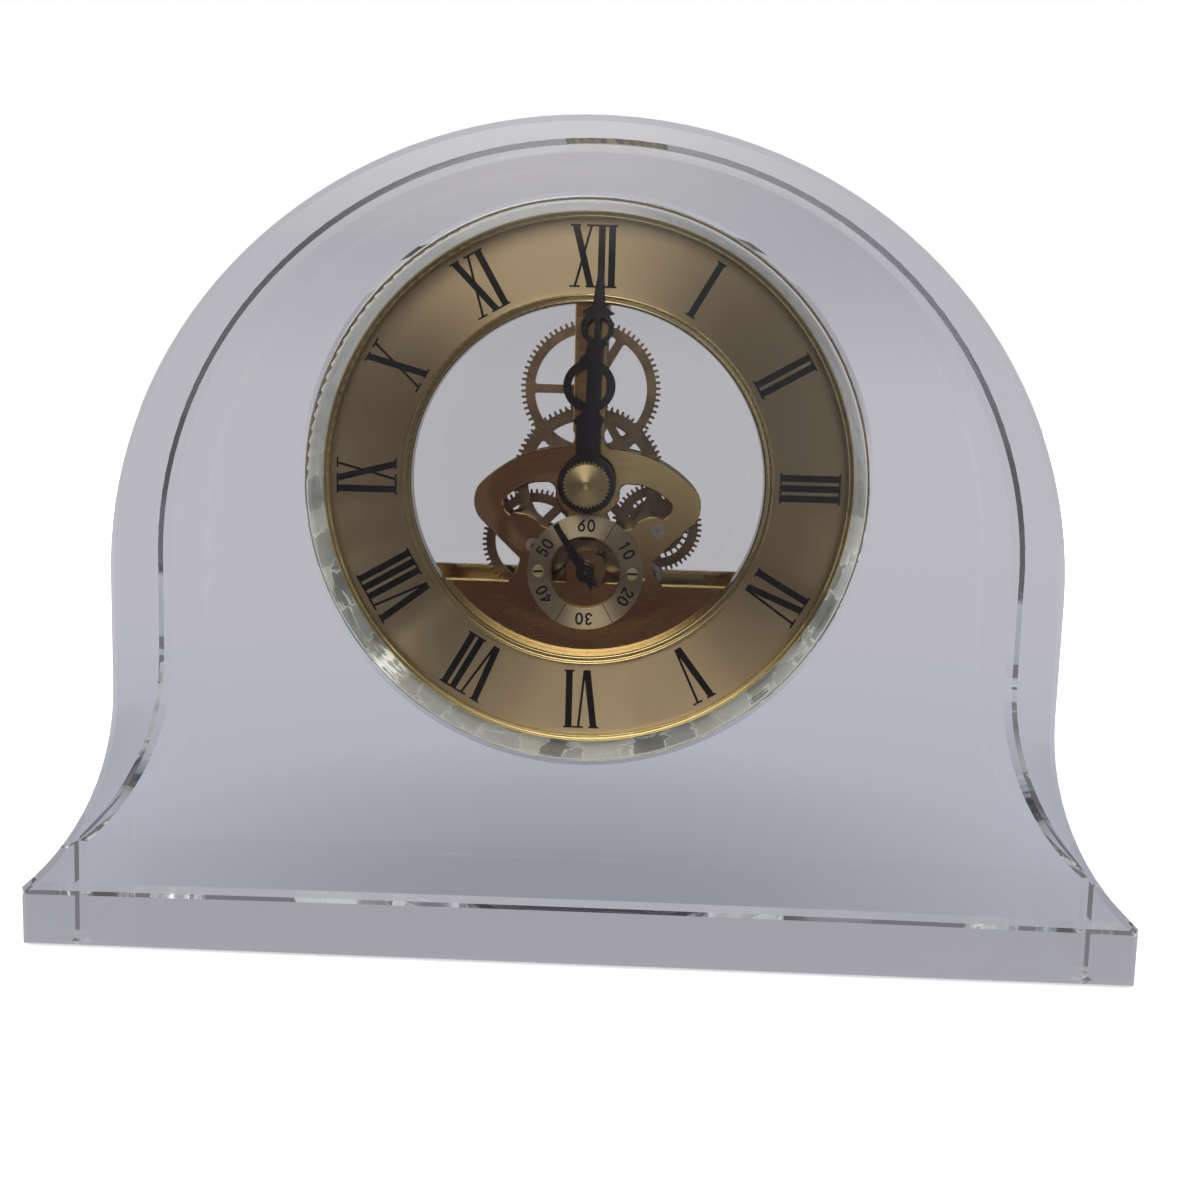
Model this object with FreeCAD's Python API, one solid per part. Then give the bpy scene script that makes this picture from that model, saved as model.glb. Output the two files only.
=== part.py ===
"""Crystal mantel clock: a clear arched block whose bore holds a skeleton quartz insert.

Frame, in millimetres: X to the right, Y from the dial towards the back, Z up. The origin is the middle
of the base, at the height of the surface the clock stands on. Depths are measured from the block's
front face towards the back, and drawn shapes lie in planes square to Y.
"""
import FreeCAD
import Part
import math
import os

Vec = FreeCAD.Vector
BACK = Vec(0, 1, 0)
FULL_TURN = 360.0
HALF_TURN = FULL_TURN / 2
HOURS = 12

# Crystal block
base_width = 190.0
foot_height = 10.0
body_width = 157.0
flare_height = 46.0
arch_spring_height = 65.0
arch_rise = 75.5
block_depth = 40.0
block_bevel = 1.2
bore_diameter = 92.0
bore_bevel = 0.5
dial_height = 82.0

# Clear case in the bore
bore_clearance = 0.3
adhesive_skin = 0.04
adhesive_length = 24.0
case_wall = 0.9
case_proud = 1.0
case_window = 2.2
case_edge_round = 0.9
case_length = 29.0
seat_clearance = 0.1
print_height = 0.05

# Dial and its trims
dial_setback = 9.0
dial_thickness = 0.8
dial_bore_radius = 30.2
outer_trim_width = 1.2
outer_trim_height = 1.0
inner_trim_radius = 31.3
inner_trim_width = 1.6
inner_trim_height = 1.1
trim_bead_share = 0.4
trim_groove_share = 0.45
trim_round_share = 0.45
numeral_radius = 37.4
numeral_height = 10.2
numeral_stem = 1.15
numeral_thin = 0.42
numeral_gap = 0.55
numeral_serif = 0.3
numeral_serif_reach = 0.3
numeral_lean_share = 0.13

# Movement plates
plate_setback = 11.0
plate_thickness = 1.2
plate_gap = 6.8
plate_seat_radius = 44.0
bar_width = 5.8
segment_drop = 17.5
wing_half_width = 19.4
plate_edge_break = 0.18
plate_corner = 0.4
least_corner = 5.5
hub_hole_play = 0.03
pillar_radius = 1.5
pillar_top_rise = 35.5
pillar_low_side = 25.5
pillar_low_drop = 20.6
screw_head_radius = 1.7
screw_head_height = 0.8
screw_shank_radius = 0.8
screw_slot_width = 0.4
screw_slot_depth = 0.35
rear_bar_height = 2.2
rear_bar_rise = 1.5
rear_foot_margin = 2.2
pillar_waist_share = 0.8
screw_grip_share = 2.4
bush_radius = 1.2
bush_proud = 0.15
bush_clearance = 0.02

# Wheelwork
minute_wheel_rise = 15.5
seconds_drop = 15.5
intermediate_reach = 14.5
rotor_direction = -104.0
centre_module = 0.322
third_module = 0.298
seconds_module = 0.365
rotor_module = 0.304
wheel_thickness = 0.6
pinion_overlap = 0.2
plane_first = 0.4
plane_step = 1.2
arbor_radius = 0.5
pivot_radius = 0.3
pivot_play = 0.03
end_play = 0.05
wheel_rim = 1.6
wheel_spoke = 1.5
side_wheel_spokes = 3
middle_wheel_spokes = 4
middle_spoke_turn = 45.0
third_spoke_turn = -90.0
intermediate_spoke_turn = 30.0
minute_spoke_turn = 60.0
seconds_spoke_turn = 90.0
wheel_hub = 1.9
spoke_corner = 0.45
cannon_teeth = 24
minute_wheel_teeth = 72
minute_pinion_teeth = 18
hour_wheel_teeth = 72
centre_wheel_teeth = 80
third_pinion_teeth = 10
third_wheel_teeth = 60
seconds_pinion_teeth = 8
seconds_wheel_teeth = 48
intermediate_pinion_teeth = 30
intermediate_wheel_teeth = 50
rotor_pinion_teeth = 8
wheel_tooth_share = 0.46
leaf_share = 0.36
wheel_tip_share = 1.15
wheel_root_share = 1.35
leaf_tip_share = 0.75
leaf_root_share = 1.5
tooth_shoulder_share = 0.62

# Hands, read from the dial towards the window
hour_hand_setback = 5.4
minute_hand_setback = 3.9
hand_thickness = 0.4
hand_hub_radius = 4.8
hour_hand_reach = 24.6
minute_hand_reach = 37.0
minute_hand_turn = 2.4
seconds_hand_reach = 9.7
seconds_tail_reach = 3.4
seconds_hand_turn = -33.0
seconds_hub_radius = 1.6
nut_radius = 3.9
nut_height = 1.9
nut_teeth = 40
nut_tooth_depth = 0.28
nut_cone_share = 0.3
nut_crown_share = 0.75
nut_thread_share = 0.6
hour_ring_share = 0.655
minute_ring_share = 0.69
hand_ring_radius = 4.3
hand_ring_hole = 2.95
minute_ring_size_share = 0.63
hand_web_width = 0.9
seconds_tip_width = 0.9
seconds_root_share = 0.55
fork_share = 0.72
seconds_hand_stand = 0.8
seconds_tip_proud = 0.4
knob_shaft_length = 5.0
cannon_pipe_radius = 1.1
cannon_wall = 0.48
hour_pipe_wall = 0.55
pipe_play = 0.05
tube_wall = 0.7
tube_proud = 0.9

# Seconds dial
ring_radius = 9.9
ring_hole_radius = 6.2
ring_thickness = 0.45
ring_stand = 0.55
ring_post_radius = 0.95
ring_screw_reach = 8.05
ring_screw_radius = 1.1
ring_screw_height = 0.35
dome_radius = 3.6
dome_hole_radius = 5.9
separator_width = 0.14
figure_height = 2.1
figure_width = 1.25
figure_stroke = 0.34
figure_gap = 0.4

# Motor and electronics
magnet_radius = 1.9
magnet_height = 1.9
stator_play = 0.35
stator_band = 0.9
stator_thickness = 0.8
coil_side = 20.8
coil_lift = 0.7
coil_length = 10.5
coil_radius = 1.8
coil_core_width = 1.4
bobbin_flange = 0.6
bobbin_wall = 0.3
board_thickness = 0.8
board_width = 11.0
board_height = 8.0
board_side = 23.5
post_radius = 1.1
post_spread = 2.0
chip_size = 3.2
chip_height = 1.0
can_radius = 1.0
can_length = 6.0

# Cell, tray and back
cell_radius = 6.0
cell_length = 30.2
cell_cap_radius = 2.2
cell_cap_height = 0.8
cell_play = 0.25
contact_thickness = 0.3
contact_gap = 1.2
tray_play = 0.3
tray_wall = 1.0
tray_floor = 0.8
cover_thickness = 1.6
door_thickness = 1.2
door_play = 0.25
door_pin_radius = 0.45
door_pin_length = 2.0
door_ridge = 0.8
door_ridge_length = 8.0
cover_screw_count = 4
cover_screw_radius = 0.5
cover_screw_length = 5.0
cover_head_radius = 0.95
cover_head_height = 0.7
stem_play = 0.3
knob_radius = 5.0
knob_height = 4.2
knob_grips = 24
knob_grip_depth = 0.35
knob_stem_radius = 1.8
spacer_wall = 2.0

# One overrun serves every cut, and places nearer than this are one place
over = 1.0
coincidence = 0.00001

front_y = -(block_depth - case_proud) / 2
case_radius = bore_diameter / 2 - bore_clearance
case_inner_radius = case_radius - case_wall
dial_radius = case_inner_radius - seat_clearance
case_front = -case_proud
case_back = case_front + case_length
window_back = case_front + case_window
plate_back = plate_setback + plate_thickness
rear_plate_front = plate_back + plate_gap
rear_plate_back = rear_plate_front + plate_thickness
cover_front = case_back - cover_thickness


def at(x, depth, z):
    """Point at x and z from the hand axis and a depth behind the block's front face."""
    return Vec(x, front_y + depth, dial_height + z)


def polar(radius, degrees, centre=(0.0, 0.0)):
    """Place at a radius and an angle, counted from +X towards +Z."""
    turn = math.radians(degrees)
    return (centre[0] + radius * math.cos(turn), centre[1] + radius * math.sin(turn))


def gap(a, b):
    return math.hypot(b[0] - a[0], b[1] - a[1])


def bearing(a, b):
    return math.degrees(math.atan2(b[1] - a[1], b[0] - a[0]))


def meet(a, b, reach_a, reach_b, side):
    """Place that lies reach_a from a and reach_b from b, on the stated side of the line."""
    span = gap(a, b)
    along = (reach_a ** 2 - reach_b ** 2 + span ** 2) / (2 * span)
    off = math.sqrt(reach_a ** 2 - along ** 2)
    ux = (b[0] - a[0]) / span
    uz = (b[1] - a[1]) / span
    return (a[0] + along * ux - side * off * uz, a[1] + along * uz + side * off * ux)


def disc(radius, front, back, centre=(0.0, 0.0)):
    return Part.makeCylinder(radius, back - front, at(centre[0], front, centre[1]), BACK)


def ring(outer, inner, front, back, centre=(0.0, 0.0)):
    hole = disc(inner, front - over, back + over, centre)
    return disc(outer, front, back, centre).cut(hole)


def bar(x0, x1, z0, z1, front, back):
    return Part.makeBox(x1 - x0, back - front, z1 - z0, at(x0, front, z0))


def slab(points, front, back, centre=(0.0, 0.0)):
    """Flat piece with straight sides through the given places."""
    corners = [at(centre[0] + x, front, centre[1] + z) for x, z in points]
    face = Part.Face(Part.makePolygon(corners + corners[:1]))
    return face.extrude(BACK * (back - front))


def turned(points, centre=(0.0, 0.0)):
    """Solid of revolution about a line along Y, from (radius, depth) points."""
    corners = [at(centre[0] + r, depth, centre[1]) for r, depth in points]
    face = Part.Face(Part.makePolygon(corners + corners[:1]))
    return face.revolve(at(centre[0], 0, centre[1]), BACK, FULL_TURN)


def fuse(*shapes):
    whole = shapes[0].multiFuse(list(shapes[1:])) if len(shapes) > 1 else shapes[0]
    return whole.removeSplitter()


def rotate(shape, degrees, centre=(0.0, 0.0)):
    """Copy turned clockwise, as seen from the front, about a line along Y."""
    copy = shape.copy()
    copy.rotate(at(centre[0], 0, centre[1]), BACK, degrees)
    return copy


def outline(steps, depth, centre=(0.0, 0.0)):
    """Closed wire from places: a pair is the end of a line, two pairs are an arc's middle and end."""
    def spot(place):
        return at(centre[0] + place[0], depth, centre[1] + place[1])

    edges = []
    here = spot(steps[0])
    first = here
    for step in steps[1:]:
        if isinstance(step[0], tuple):
            end = spot(step[1])
            edges.append(Part.Arc(here, spot(step[0]), end).toShape())
        else:
            end = spot(step)
            edges.append(Part.LineSegment(here, end).toShape())
        here = end
    if here.distanceToPoint(first) > coincidence:
        edges.append(Part.LineSegment(here, first).toShape())
    return Part.Wire(edges)


def plate(steps, front, back, centre=(0.0, 0.0)):
    return Part.Face(outline(steps, front, centre)).extrude(BACK * (back - front))


class Gear:
    """One toothed wheel: its teeth, its module, its centre and the bearing of one tooth."""

    def __init__(self, teeth, module, centre, tooth_at, leaf):
        self.teeth = teeth
        self.module = module
        self.centre = centre
        self.tooth_at = tooth_at
        self.leaf = leaf
        self.pitch_radius = module * teeth / 2
        self.tip_radius = self.pitch_radius + module * (leaf_tip_share if leaf else wheel_tip_share)
        self.root_radius = self.pitch_radius - module * (leaf_root_share if leaf else wheel_root_share)

    def toothed(self, front, back):
        """Solid with every tooth: radial flanks and tips that arch to a point."""
        pitch = FULL_TURN / self.teeth
        half = pitch * (leaf_share if self.leaf else wheel_tooth_share) / 2
        shoulder = self.pitch_radius + (self.tip_radius - self.pitch_radius) * tooth_shoulder_share
        quarter = half * tooth_shoulder_share
        steps = []
        for count in range(self.teeth):
            middle = self.tooth_at + pitch * count
            steps.append(polar(self.root_radius, middle - half))
            steps.append(polar(self.pitch_radius, middle - half))
            steps.append((polar(shoulder, middle - quarter), polar(self.tip_radius, middle)))
            steps.append((polar(shoulder, middle + quarter), polar(self.pitch_radius, middle + half)))
            steps.append(polar(self.root_radius, middle + half))
        return plate(steps, front, back, self.centre)

    def wheel(self, front, spokes, spoke_at):
        """Wheel with its rim crossed by spokes, and no bore."""
        back = front + wheel_thickness
        blank = self.toothed(front, back)
        inner = self.root_radius - wheel_rim
        for count in range(spokes):
            start = spoke_at + FULL_TURN / spokes * count
            end = start + FULL_TURN / spokes
            blank = blank.cut(spoke_window(inner, start, end, front - over, back + over, self.centre))
        return blank


def spoke_window(outer, start, end, front, back, centre):
    """Opening between two straight spokes, with rounded corners."""
    half = wheel_spoke / 2
    lean_out = math.degrees(math.asin(half / outer))
    lean_in = math.degrees(math.asin(half / wheel_hub))
    middle = (start + end) / 2
    steps = [
        polar(wheel_hub, start + lean_in),
        polar(outer, start + lean_out),
        (polar(outer, middle), polar(outer, end - lean_out)),
        polar(wheel_hub, end - lean_in),
        (polar(wheel_hub, middle), polar(wheel_hub, start + lean_in)),
    ]
    hole = plate(steps, front, back, centre)
    corners = [edge for edge in hole.Edges if edge.Length > back - front - coincidence
               and abs(edge.tangentAt(edge.FirstParameter).y) > tooth_shoulder_share]
    return hole.makeFillet(spoke_corner, corners)


def mated(driver, teeth, centre, leaf):
    """Gear in mesh with the driver: its gap lies over the driver's tooth nearest the line of centres."""
    line = bearing(driver.centre, centre)
    pitch = FULL_TURN / driver.teeth
    past = ((line - driver.tooth_at) % pitch) / pitch
    tooth_at = line + HALF_TURN + (past + 1 / 2) * FULL_TURN / teeth
    return Gear(teeth, driver.module, centre, tooth_at, leaf)


# Places of the arbors, from the hand axis
hand_axis = (0.0, 0.0)
top_axis = (0.0, minute_wheel_rise)
seconds_axis = (0.0, -seconds_drop)
third_from_seconds = third_module * (third_wheel_teeth + seconds_pinion_teeth) / 2
third_from_hand = centre_module * (centre_wheel_teeth + third_pinion_teeth) / 2
third_axis = meet(seconds_axis, hand_axis, third_from_seconds, third_from_hand, 1)
intermediate_from_seconds = seconds_module * (seconds_wheel_teeth + intermediate_pinion_teeth) / 2
intermediate_axis = meet(seconds_axis, hand_axis, intermediate_from_seconds, intermediate_reach, -1)
rotor_from_intermediate = rotor_module * (intermediate_wheel_teeth + rotor_pinion_teeth) / 2
rotor_axis = polar(rotor_from_intermediate, rotor_direction, intermediate_axis)

# Gears in mesh, each follower set by its driver
motion_module = 2 * minute_wheel_rise / (cannon_teeth + minute_wheel_teeth)
hour_module = 2 * minute_wheel_rise / (minute_pinion_teeth + hour_wheel_teeth)
quarter_turn = FULL_TURN / 4
cannon_gear = Gear(cannon_teeth, motion_module, hand_axis, quarter_turn, True)
minute_gear = mated(cannon_gear, minute_wheel_teeth, top_axis, False)
minute_leaves = Gear(minute_pinion_teeth, hour_module, top_axis, -quarter_turn, True)
hour_gear = mated(minute_leaves, hour_wheel_teeth, hand_axis, False)
centre_gear = Gear(centre_wheel_teeth, centre_module, hand_axis, bearing(hand_axis, third_axis), False)
third_leaves = mated(centre_gear, third_pinion_teeth, third_axis, True)
third_gear = Gear(third_wheel_teeth, third_module, third_axis, bearing(third_axis, seconds_axis), False)
seconds_leaves = mated(third_gear, seconds_pinion_teeth, seconds_axis, True)
seconds_gear = Gear(seconds_wheel_teeth, seconds_module, seconds_axis,
                    bearing(seconds_axis, intermediate_axis), False)
intermediate_leaves = mated(seconds_gear, intermediate_pinion_teeth, intermediate_axis, True)
intermediate_gear = Gear(intermediate_wheel_teeth, rotor_module, intermediate_axis,
                         bearing(intermediate_axis, rotor_axis), False)
rotor_leaves = mated(intermediate_gear, rotor_pinion_teeth, rotor_axis, True)


def plane(count):
    """Depth of the front of the numbered wheel plane, from the front plate's back."""
    return plate_back + plane_first + plane_step * count


HOUR_PLANE, MINUTE_PLANE, CENTRE_PLANE, THIRD_PLANE, SECONDS_PLANE = range(5)


def block_profile():
    """Outline of the arched block: flat foot, flared sides, and an arch that is half an ellipse."""
    half = base_width / 2
    body = body_width / 2
    spring = arch_spring_height
    spread = half - body
    climb = flare_height - foot_height
    bend = (spread ** 2 + climb ** 2) / (2 * spread)
    low = math.atan2(-climb, spread - bend)
    middle = (low - math.pi) / 2
    flare_x = body + bend + bend * math.cos(middle)
    flare_z = flare_height + bend * math.sin(middle)

    def spot(x, z):
        return Vec(x, front_y, z)

    top = spot(0, spring + arch_rise)
    side = spot(body, spring)
    wide = body > arch_rise
    arch = Part.Ellipse(side, top, spot(0, spring)) if wide else Part.Ellipse(top, side, spot(0, spring))
    upper = Part.makeBox(base_width, over, arch_rise + over, Vec(-half, front_y - over / 2, spring))
    edges = arch.toShape().common(upper).Edges
    for end in (-1, 1):
        edges.append(Part.LineSegment(spot(end * half, 0), spot(end * half, foot_height)).toShape())
        edges.append(Part.Arc(spot(end * half, foot_height), spot(end * flare_x, flare_z),
                              spot(end * body, flare_height)).toShape())
        edges.append(Part.LineSegment(spot(end * body, flare_height), spot(end * body, spring)).toShape())
    edges.append(Part.LineSegment(spot(-half, 0), spot(half, 0)).toShape())
    return Part.Wire(Part.__sortEdges__(edges))


def crystal_block():
    """Arched block with a through bore, and a polished bevel along its front and back edges."""
    solid = Part.Face(block_profile()).extrude(BACK * block_depth)
    rims = [edge for edge in solid.Edges
            if edge.BoundBox.YLength < coincidence]
    solid = solid.makeChamfer(block_bevel, rims)
    bore = disc(bore_diameter / 2, -over, block_depth + over)
    mouth = bore_diameter / 2 + bore_bevel
    lead = turned([(0, -over), (mouth + over, -over), (bore_diameter / 2 - over, bore_bevel + over),
                   (0, bore_bevel + over)])
    tail = block_depth - bore_bevel - over
    rear_lead = turned([(0, block_depth + over), (mouth + over, block_depth + over),
                        (bore_diameter / 2 - over, tail), (0, tail)])
    return solid.cut(bore).cut(lead).cut(rear_lead)


def adhesive_ring():
    """Clear glue that fills the gap between the case and the bore."""
    start = bore_bevel + over
    return ring(bore_diameter / 2 - adhesive_skin, case_radius + adhesive_skin, start,
                start + adhesive_length)


def clear_case():
    """Moulded cup: a flat window with a rounded rim, and a thin wall that goes back into the bore."""
    cup = disc(case_radius, case_front, case_back)
    rim = [edge for edge in cup.Edges if abs(edge.CenterOfMass.y - front_y - case_front) < coincidence]
    cup = cup.makeFillet(case_edge_round, rim)
    return cup.cut(disc(case_inner_radius, window_back, case_back + over))


def dial_ring():
    return ring(dial_radius, dial_bore_radius, dial_setback, dial_setback + dial_thickness)


def beaded_band(outer, width, height):
    """Ring on the dial's face with a rounded bead along each rim and a groove between them."""
    bead = width * trim_bead_share
    crown = dial_setback - height
    beads = []
    for rim in (outer, outer - width + bead):
        band = ring(rim, rim - bead, crown, dial_setback)
        crests = [edge for edge in band.Edges if abs(edge.CenterOfMass.y - front_y - crown) < coincidence]
        beads.append(band.makeFillet(bead * trim_round_share, crests))
    return fuse(ring(outer, outer - width, dial_setback - height * trim_groove_share, dial_setback), *beads)


def outer_trim_ring():
    """Beaded gold ring pressed against the case wall, in front of the dial."""
    return beaded_band(dial_radius, outer_trim_width, outer_trim_height)


def inner_trim_ring():
    """Beaded gold bezel that clips through the dial's bore."""
    head = beaded_band(inner_trim_radius, inner_trim_width, inner_trim_height)
    skirt = ring(dial_bore_radius - seat_clearance, inner_trim_radius - inner_trim_width, dial_setback,
                 plate_setback - seat_clearance)
    return fuse(head, skirt)


def spacer_ring():
    """Clear ring behind the dial: the front plate rests on its step, the back cover on its rear face."""
    front = dial_setback + dial_thickness
    body = ring(dial_radius, dial_radius - spacer_wall, front, cover_front)
    body = body.cut(disc(plate_seat_radius + seat_clearance, front - over, plate_back))
    for place in cover_screw_places():
        body = body.cut(disc(cover_screw_radius + pivot_play, case_back - cover_screw_length - over,
                             cover_front + over, place))
    return body


def stroke(x0, x1, half_height, width):
    """Slanted or upright bar of a letter, cut level at both ends; x0 is at the foot, x1 at the head."""
    half = width / 2
    return [(x0 - half, -half_height), (x0 + half, -half_height), (x1 + half, half_height),
            (x1 - half, half_height)]


def letter(kind):
    """Strokes of one Roman letter about its own middle, with its width."""
    tall = numeral_height / 2
    thick = numeral_stem
    thin = numeral_thin
    reach = numeral_serif_reach
    serif = numeral_serif
    lean = numeral_height * numeral_lean_share
    inner = tall - serif
    if kind == "I":
        bars = [stroke(0, 0, tall, thick)]
        feet = [(0, -1), (0, 1)]
        width = thick
    elif kind == "V":
        bars = [stroke(0, -lean, tall, thick), stroke(thin, lean, tall, thin)]
        feet = [(-lean, 1), (lean, 1)]
        width = 2 * lean + thick
    else:
        bars = [stroke(lean, -lean, tall, thick), stroke(-lean, lean, tall, thin)]
        feet = [(-lean, -1), (-lean, 1), (lean, -1), (lean, 1)]
        width = 2 * lean + thick
    for x, end in feet:
        low = end * tall
        high = end * inner
        half = thick / 2 + reach
        bars.append([(x - half, min(low, high)), (x + half, min(low, high)),
                     (x + half, max(low, high)), (x - half, max(low, high))])
    return bars, width


ROMAN = ("XII", "I", "II", "III", "IV", "V", "VI", "VII", "VIII", "IX", "X", "XI")


def dial_numerals():
    """Twelve printed Roman numerals, heads outwards; each is one flat solid."""
    printed = []
    for hour, word in enumerate(ROMAN):
        letters = [letter(kind) for kind in word]
        total = sum(width for _, width in letters) + numeral_gap * (len(word) - 1)
        left = -total / 2
        parts = []
        for bars, width in letters:
            middle = left + width / 2
            for points in bars:
                parts.append(slab([(x + middle, z) for x, z in points], dial_setback - print_height,
                                  dial_setback, (0, numeral_radius)))
            left += width + numeral_gap
        printed.append(rotate(fuse(*parts), FULL_TURN / HOURS * hour))
    return Part.makeCompound(printed)


def mirrored(places):
    """Steps of an outline mirrored left to right and run backwards."""
    flat = []
    for step in places:
        if isinstance(step[0], tuple):
            flat.append(("mid", step[0]))
            flat.append(("end", step[1]))
        else:
            flat.append(("end", step))
    flat.reverse()
    turned_steps = []
    middle = None
    for kind, place in flat:
        other = (-place[0], place[1])
        if kind == "mid":
            middle = other
        elif middle is not None:
            turned_steps.append((middle, other))
            middle = None
        else:
            turned_steps.append(other)
    return turned_steps


def share(steps, size):
    """Steps of an outline given as shares, at their real size."""
    grown = []
    for step in steps:
        if isinstance(step[0], tuple):
            grown.append(tuple((x * size, z * size) for x, z in step))
        else:
            grown.append((step[0] * size, step[1] * size))
    return grown


# Right half of the winged plate, as shares of the wing's half width, from the bar down to the leg
wing_shares = [
    (0.142, 0.44),
    ((0.157, 0.318), (0.205, 0.294)),
    ((0.60, 0.205), (0.95, -0.045)),
    ((1.0, -0.193), (0.938, -0.36)),
    (0.585, -0.70),
    ((0.615, -0.80), (0.685, -0.905)),
]
# Right window of the winged plate, in the same shares
window_shares = [
    (0.745, -0.185),
    ((0.62, -0.085), (0.46, -0.022)),
    (0.345, -0.016),
    ((0.295, -0.05), (0.285, -0.135)),
    ((0.235, -0.225), (0.16, -0.285)),
    (0.235, -0.46),
    (0.40, -0.40),
    ((0.45, -0.345), (0.50, -0.32)),
    ((0.58, -0.295), (0.68, -0.315)),
    ((0.735, -0.245), (0.745, -0.185)),
]


def rounded_corners(solid, radius):
    """Plate with its upright corners rounded, apart from those where two sides run on nearly in line."""
    corners = []
    for edge in solid.Edges:
        upright = edge.BoundBox.YLength > coincidence and isinstance(edge.Curve, Part.Line)
        if not upright:
            continue
        sides = solid.ancestorsOfType(edge, Part.Face)
        middle = edge.CenterOfMass
        normals = [face.normalAt(*face.Surface.parameter(middle)) for face in sides]
        if math.degrees(normals[0].getAngle(normals[1])) > least_corner:
            corners.append(edge)
    return solid.makeFillet(radius, corners)


def broken_edges(solid, front):
    """Small bevel along the edges of a plate's front face."""
    rims = [edge for edge in solid.Edges if edge.BoundBox.YLength < coincidence
            and abs(edge.CenterOfMass.y - front_y - front) < coincidence]
    return solid.makeChamfer(plate_edge_break, rims)


def winged_blank(front, back, reach):
    """Bar, wings and legs that both plates share, with the wings' two windows."""
    right = share(wing_shares, wing_half_width)
    half = bar_width / 2
    top = math.sqrt(reach ** 2 - half ** 2)
    low = -segment_drop - rear_bar_height
    steps = [(half, top)] + right + [(right[-1][1][0], low), (-right[-1][1][0], low)]
    steps += mirrored(right) + [(-half, top), ((0, reach), (half, top))]
    blank = plate(steps, front, back)
    window = share(window_shares, wing_half_width)
    for places in (window, mirrored(window)):
        blank = blank.cut(plate(places, front - over, back + over))
    return blank


def arbor_holes(axes, radius, front, back):
    return [disc(radius, front - over, back + over, axis) for axis in axes]


def pillar_places():
    low = [(side * pillar_low_side, -pillar_low_drop) for side in (1, -1)]
    return [(0.0, pillar_top_rise)] + low


def ring_screw_places():
    return [(side * ring_screw_reach, -seconds_drop) for side in (-1, 1)]


bushed_axes = [third_axis, intermediate_axis]
plain_axes = [top_axis, rotor_axis]
tube_inner = cannon_pipe_radius + pipe_play + hour_pipe_wall + pipe_play
tube_outer = tube_inner + tube_wall
pivot_hole = pivot_radius + pivot_play


def front_plate():
    """Polished plate: top bar, two wings, and the segment that closes the foot of the see-through centre."""
    front = plate_setback
    blank = winged_blank(front, plate_back, plate_seat_radius)
    chord = math.sqrt(plate_seat_radius ** 2 - segment_drop ** 2)
    foot = plate([(-chord, -segment_drop), (chord, -segment_drop),
                  ((0, -plate_seat_radius), (-chord, -segment_drop))], front, plate_back)
    window = disc(dome_hole_radius, front - over, plate_back + over, seconds_axis)
    below = bar(-ring_radius, ring_radius, -segment_drop - ring_radius, -segment_drop, front - over,
                plate_back + over)
    blank = broken_edges(rounded_corners(blank, plate_corner), front)
    dome = broken_edges(disc(dome_radius, front, plate_back, seconds_axis), front)
    blank = fuse(fuse(blank, broken_edges(foot, front)).cut(window.cut(below)), dome)
    holes = arbor_holes([hand_axis], tube_outer + hub_hole_play, front, plate_back)
    holes += arbor_holes(bushed_axes, bush_radius + bush_clearance, front, plate_back)
    holes += arbor_holes(plain_axes + [seconds_axis], pivot_hole, front, plate_back)
    holes += arbor_holes(pillar_places() + ring_screw_places(), screw_shank_radius + pivot_play, front,
                         plate_back)
    for hole in holes:
        blank = blank.cut(hole)
    return blank


def rear_plate():
    """Winged plate behind the wheels, with a low bar between its two feet."""
    front = rear_plate_front
    blank = winged_blank(front, rear_plate_back, pillar_top_rise + rear_foot_margin)
    half = pillar_low_side + rear_foot_margin
    rail = bar(-half, half, -segment_drop - rear_bar_height, -segment_drop + rear_bar_rise, front,
               rear_plate_back)
    feet = [disc(rear_foot_margin, front, rear_plate_back, place) for place in pillar_places()]
    blank = fuse(blank, rail, *feet)
    holes = arbor_holes([hand_axis, seconds_axis, top_axis, rotor_axis], pivot_hole, front, rear_plate_back)
    holes[0] = disc(cannon_bore, front - over, rear_plate_back + over)
    holes += arbor_holes(bushed_axes, bush_radius + bush_clearance, front, rear_plate_back)
    holes += arbor_holes(pillar_places(), screw_shank_radius + pivot_play, front, rear_plate_back)
    for hole in holes:
        blank = blank.cut(hole)
    return blank


def plate_pillars():
    """Three posts between the plates, tapped at both ends."""
    posts = []
    for place in pillar_places():
        post = disc(pillar_radius, plate_back, rear_plate_front, place)
        waist = ring(pillar_radius + over, pillar_radius * pillar_waist_share, plate_back + plate_thickness,
                     rear_plate_front - plate_thickness, place)
        bores = disc(screw_shank_radius + pivot_play, plate_back - over, rear_plate_front + over, place)
        posts.append(post.cut(waist).cut(bores))
    return Part.makeCompound(posts)


def slotted_screw(place, seat, facing, head_radius, head_height, length):
    """Screw with a slotted cheese head; facing is -1 when its head looks to the front."""
    ends = sorted((seat, seat + facing * head_height))
    head = disc(head_radius, ends[0], ends[1], place)
    shank_ends = sorted((seat, seat - facing * length))
    shank = disc(screw_shank_radius, shank_ends[0], shank_ends[1], place)
    rim = [edge for edge in head.Edges
           if abs(edge.CenterOfMass.y - front_y - seat - facing * head_height) < coincidence]
    head = head.makeFillet(head_height * trim_round_share, rim)
    half = screw_slot_width / 2
    top = seat + facing * head_height
    cut_ends = sorted((top + facing * over, top - facing * screw_slot_depth))
    slot = bar(-head_radius - over, head_radius + over, -half, half, cut_ends[0], cut_ends[1])
    slot.translate(Vec(place[0], 0, place[1]))
    return fuse(head, shank).cut(slot)


def plate_screws():
    """Three screws behind the rear plate and three under the dial."""
    grip = plate_thickness * screw_grip_share
    screws = [slotted_screw(place, rear_plate_back, 1, screw_head_radius, screw_head_height, grip)
              for place in pillar_places()]
    screws += [slotted_screw(place, plate_setback, -1, screw_head_radius, screw_head_height, grip)
               for place in pillar_places()]
    return Part.makeCompound(screws)


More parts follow.
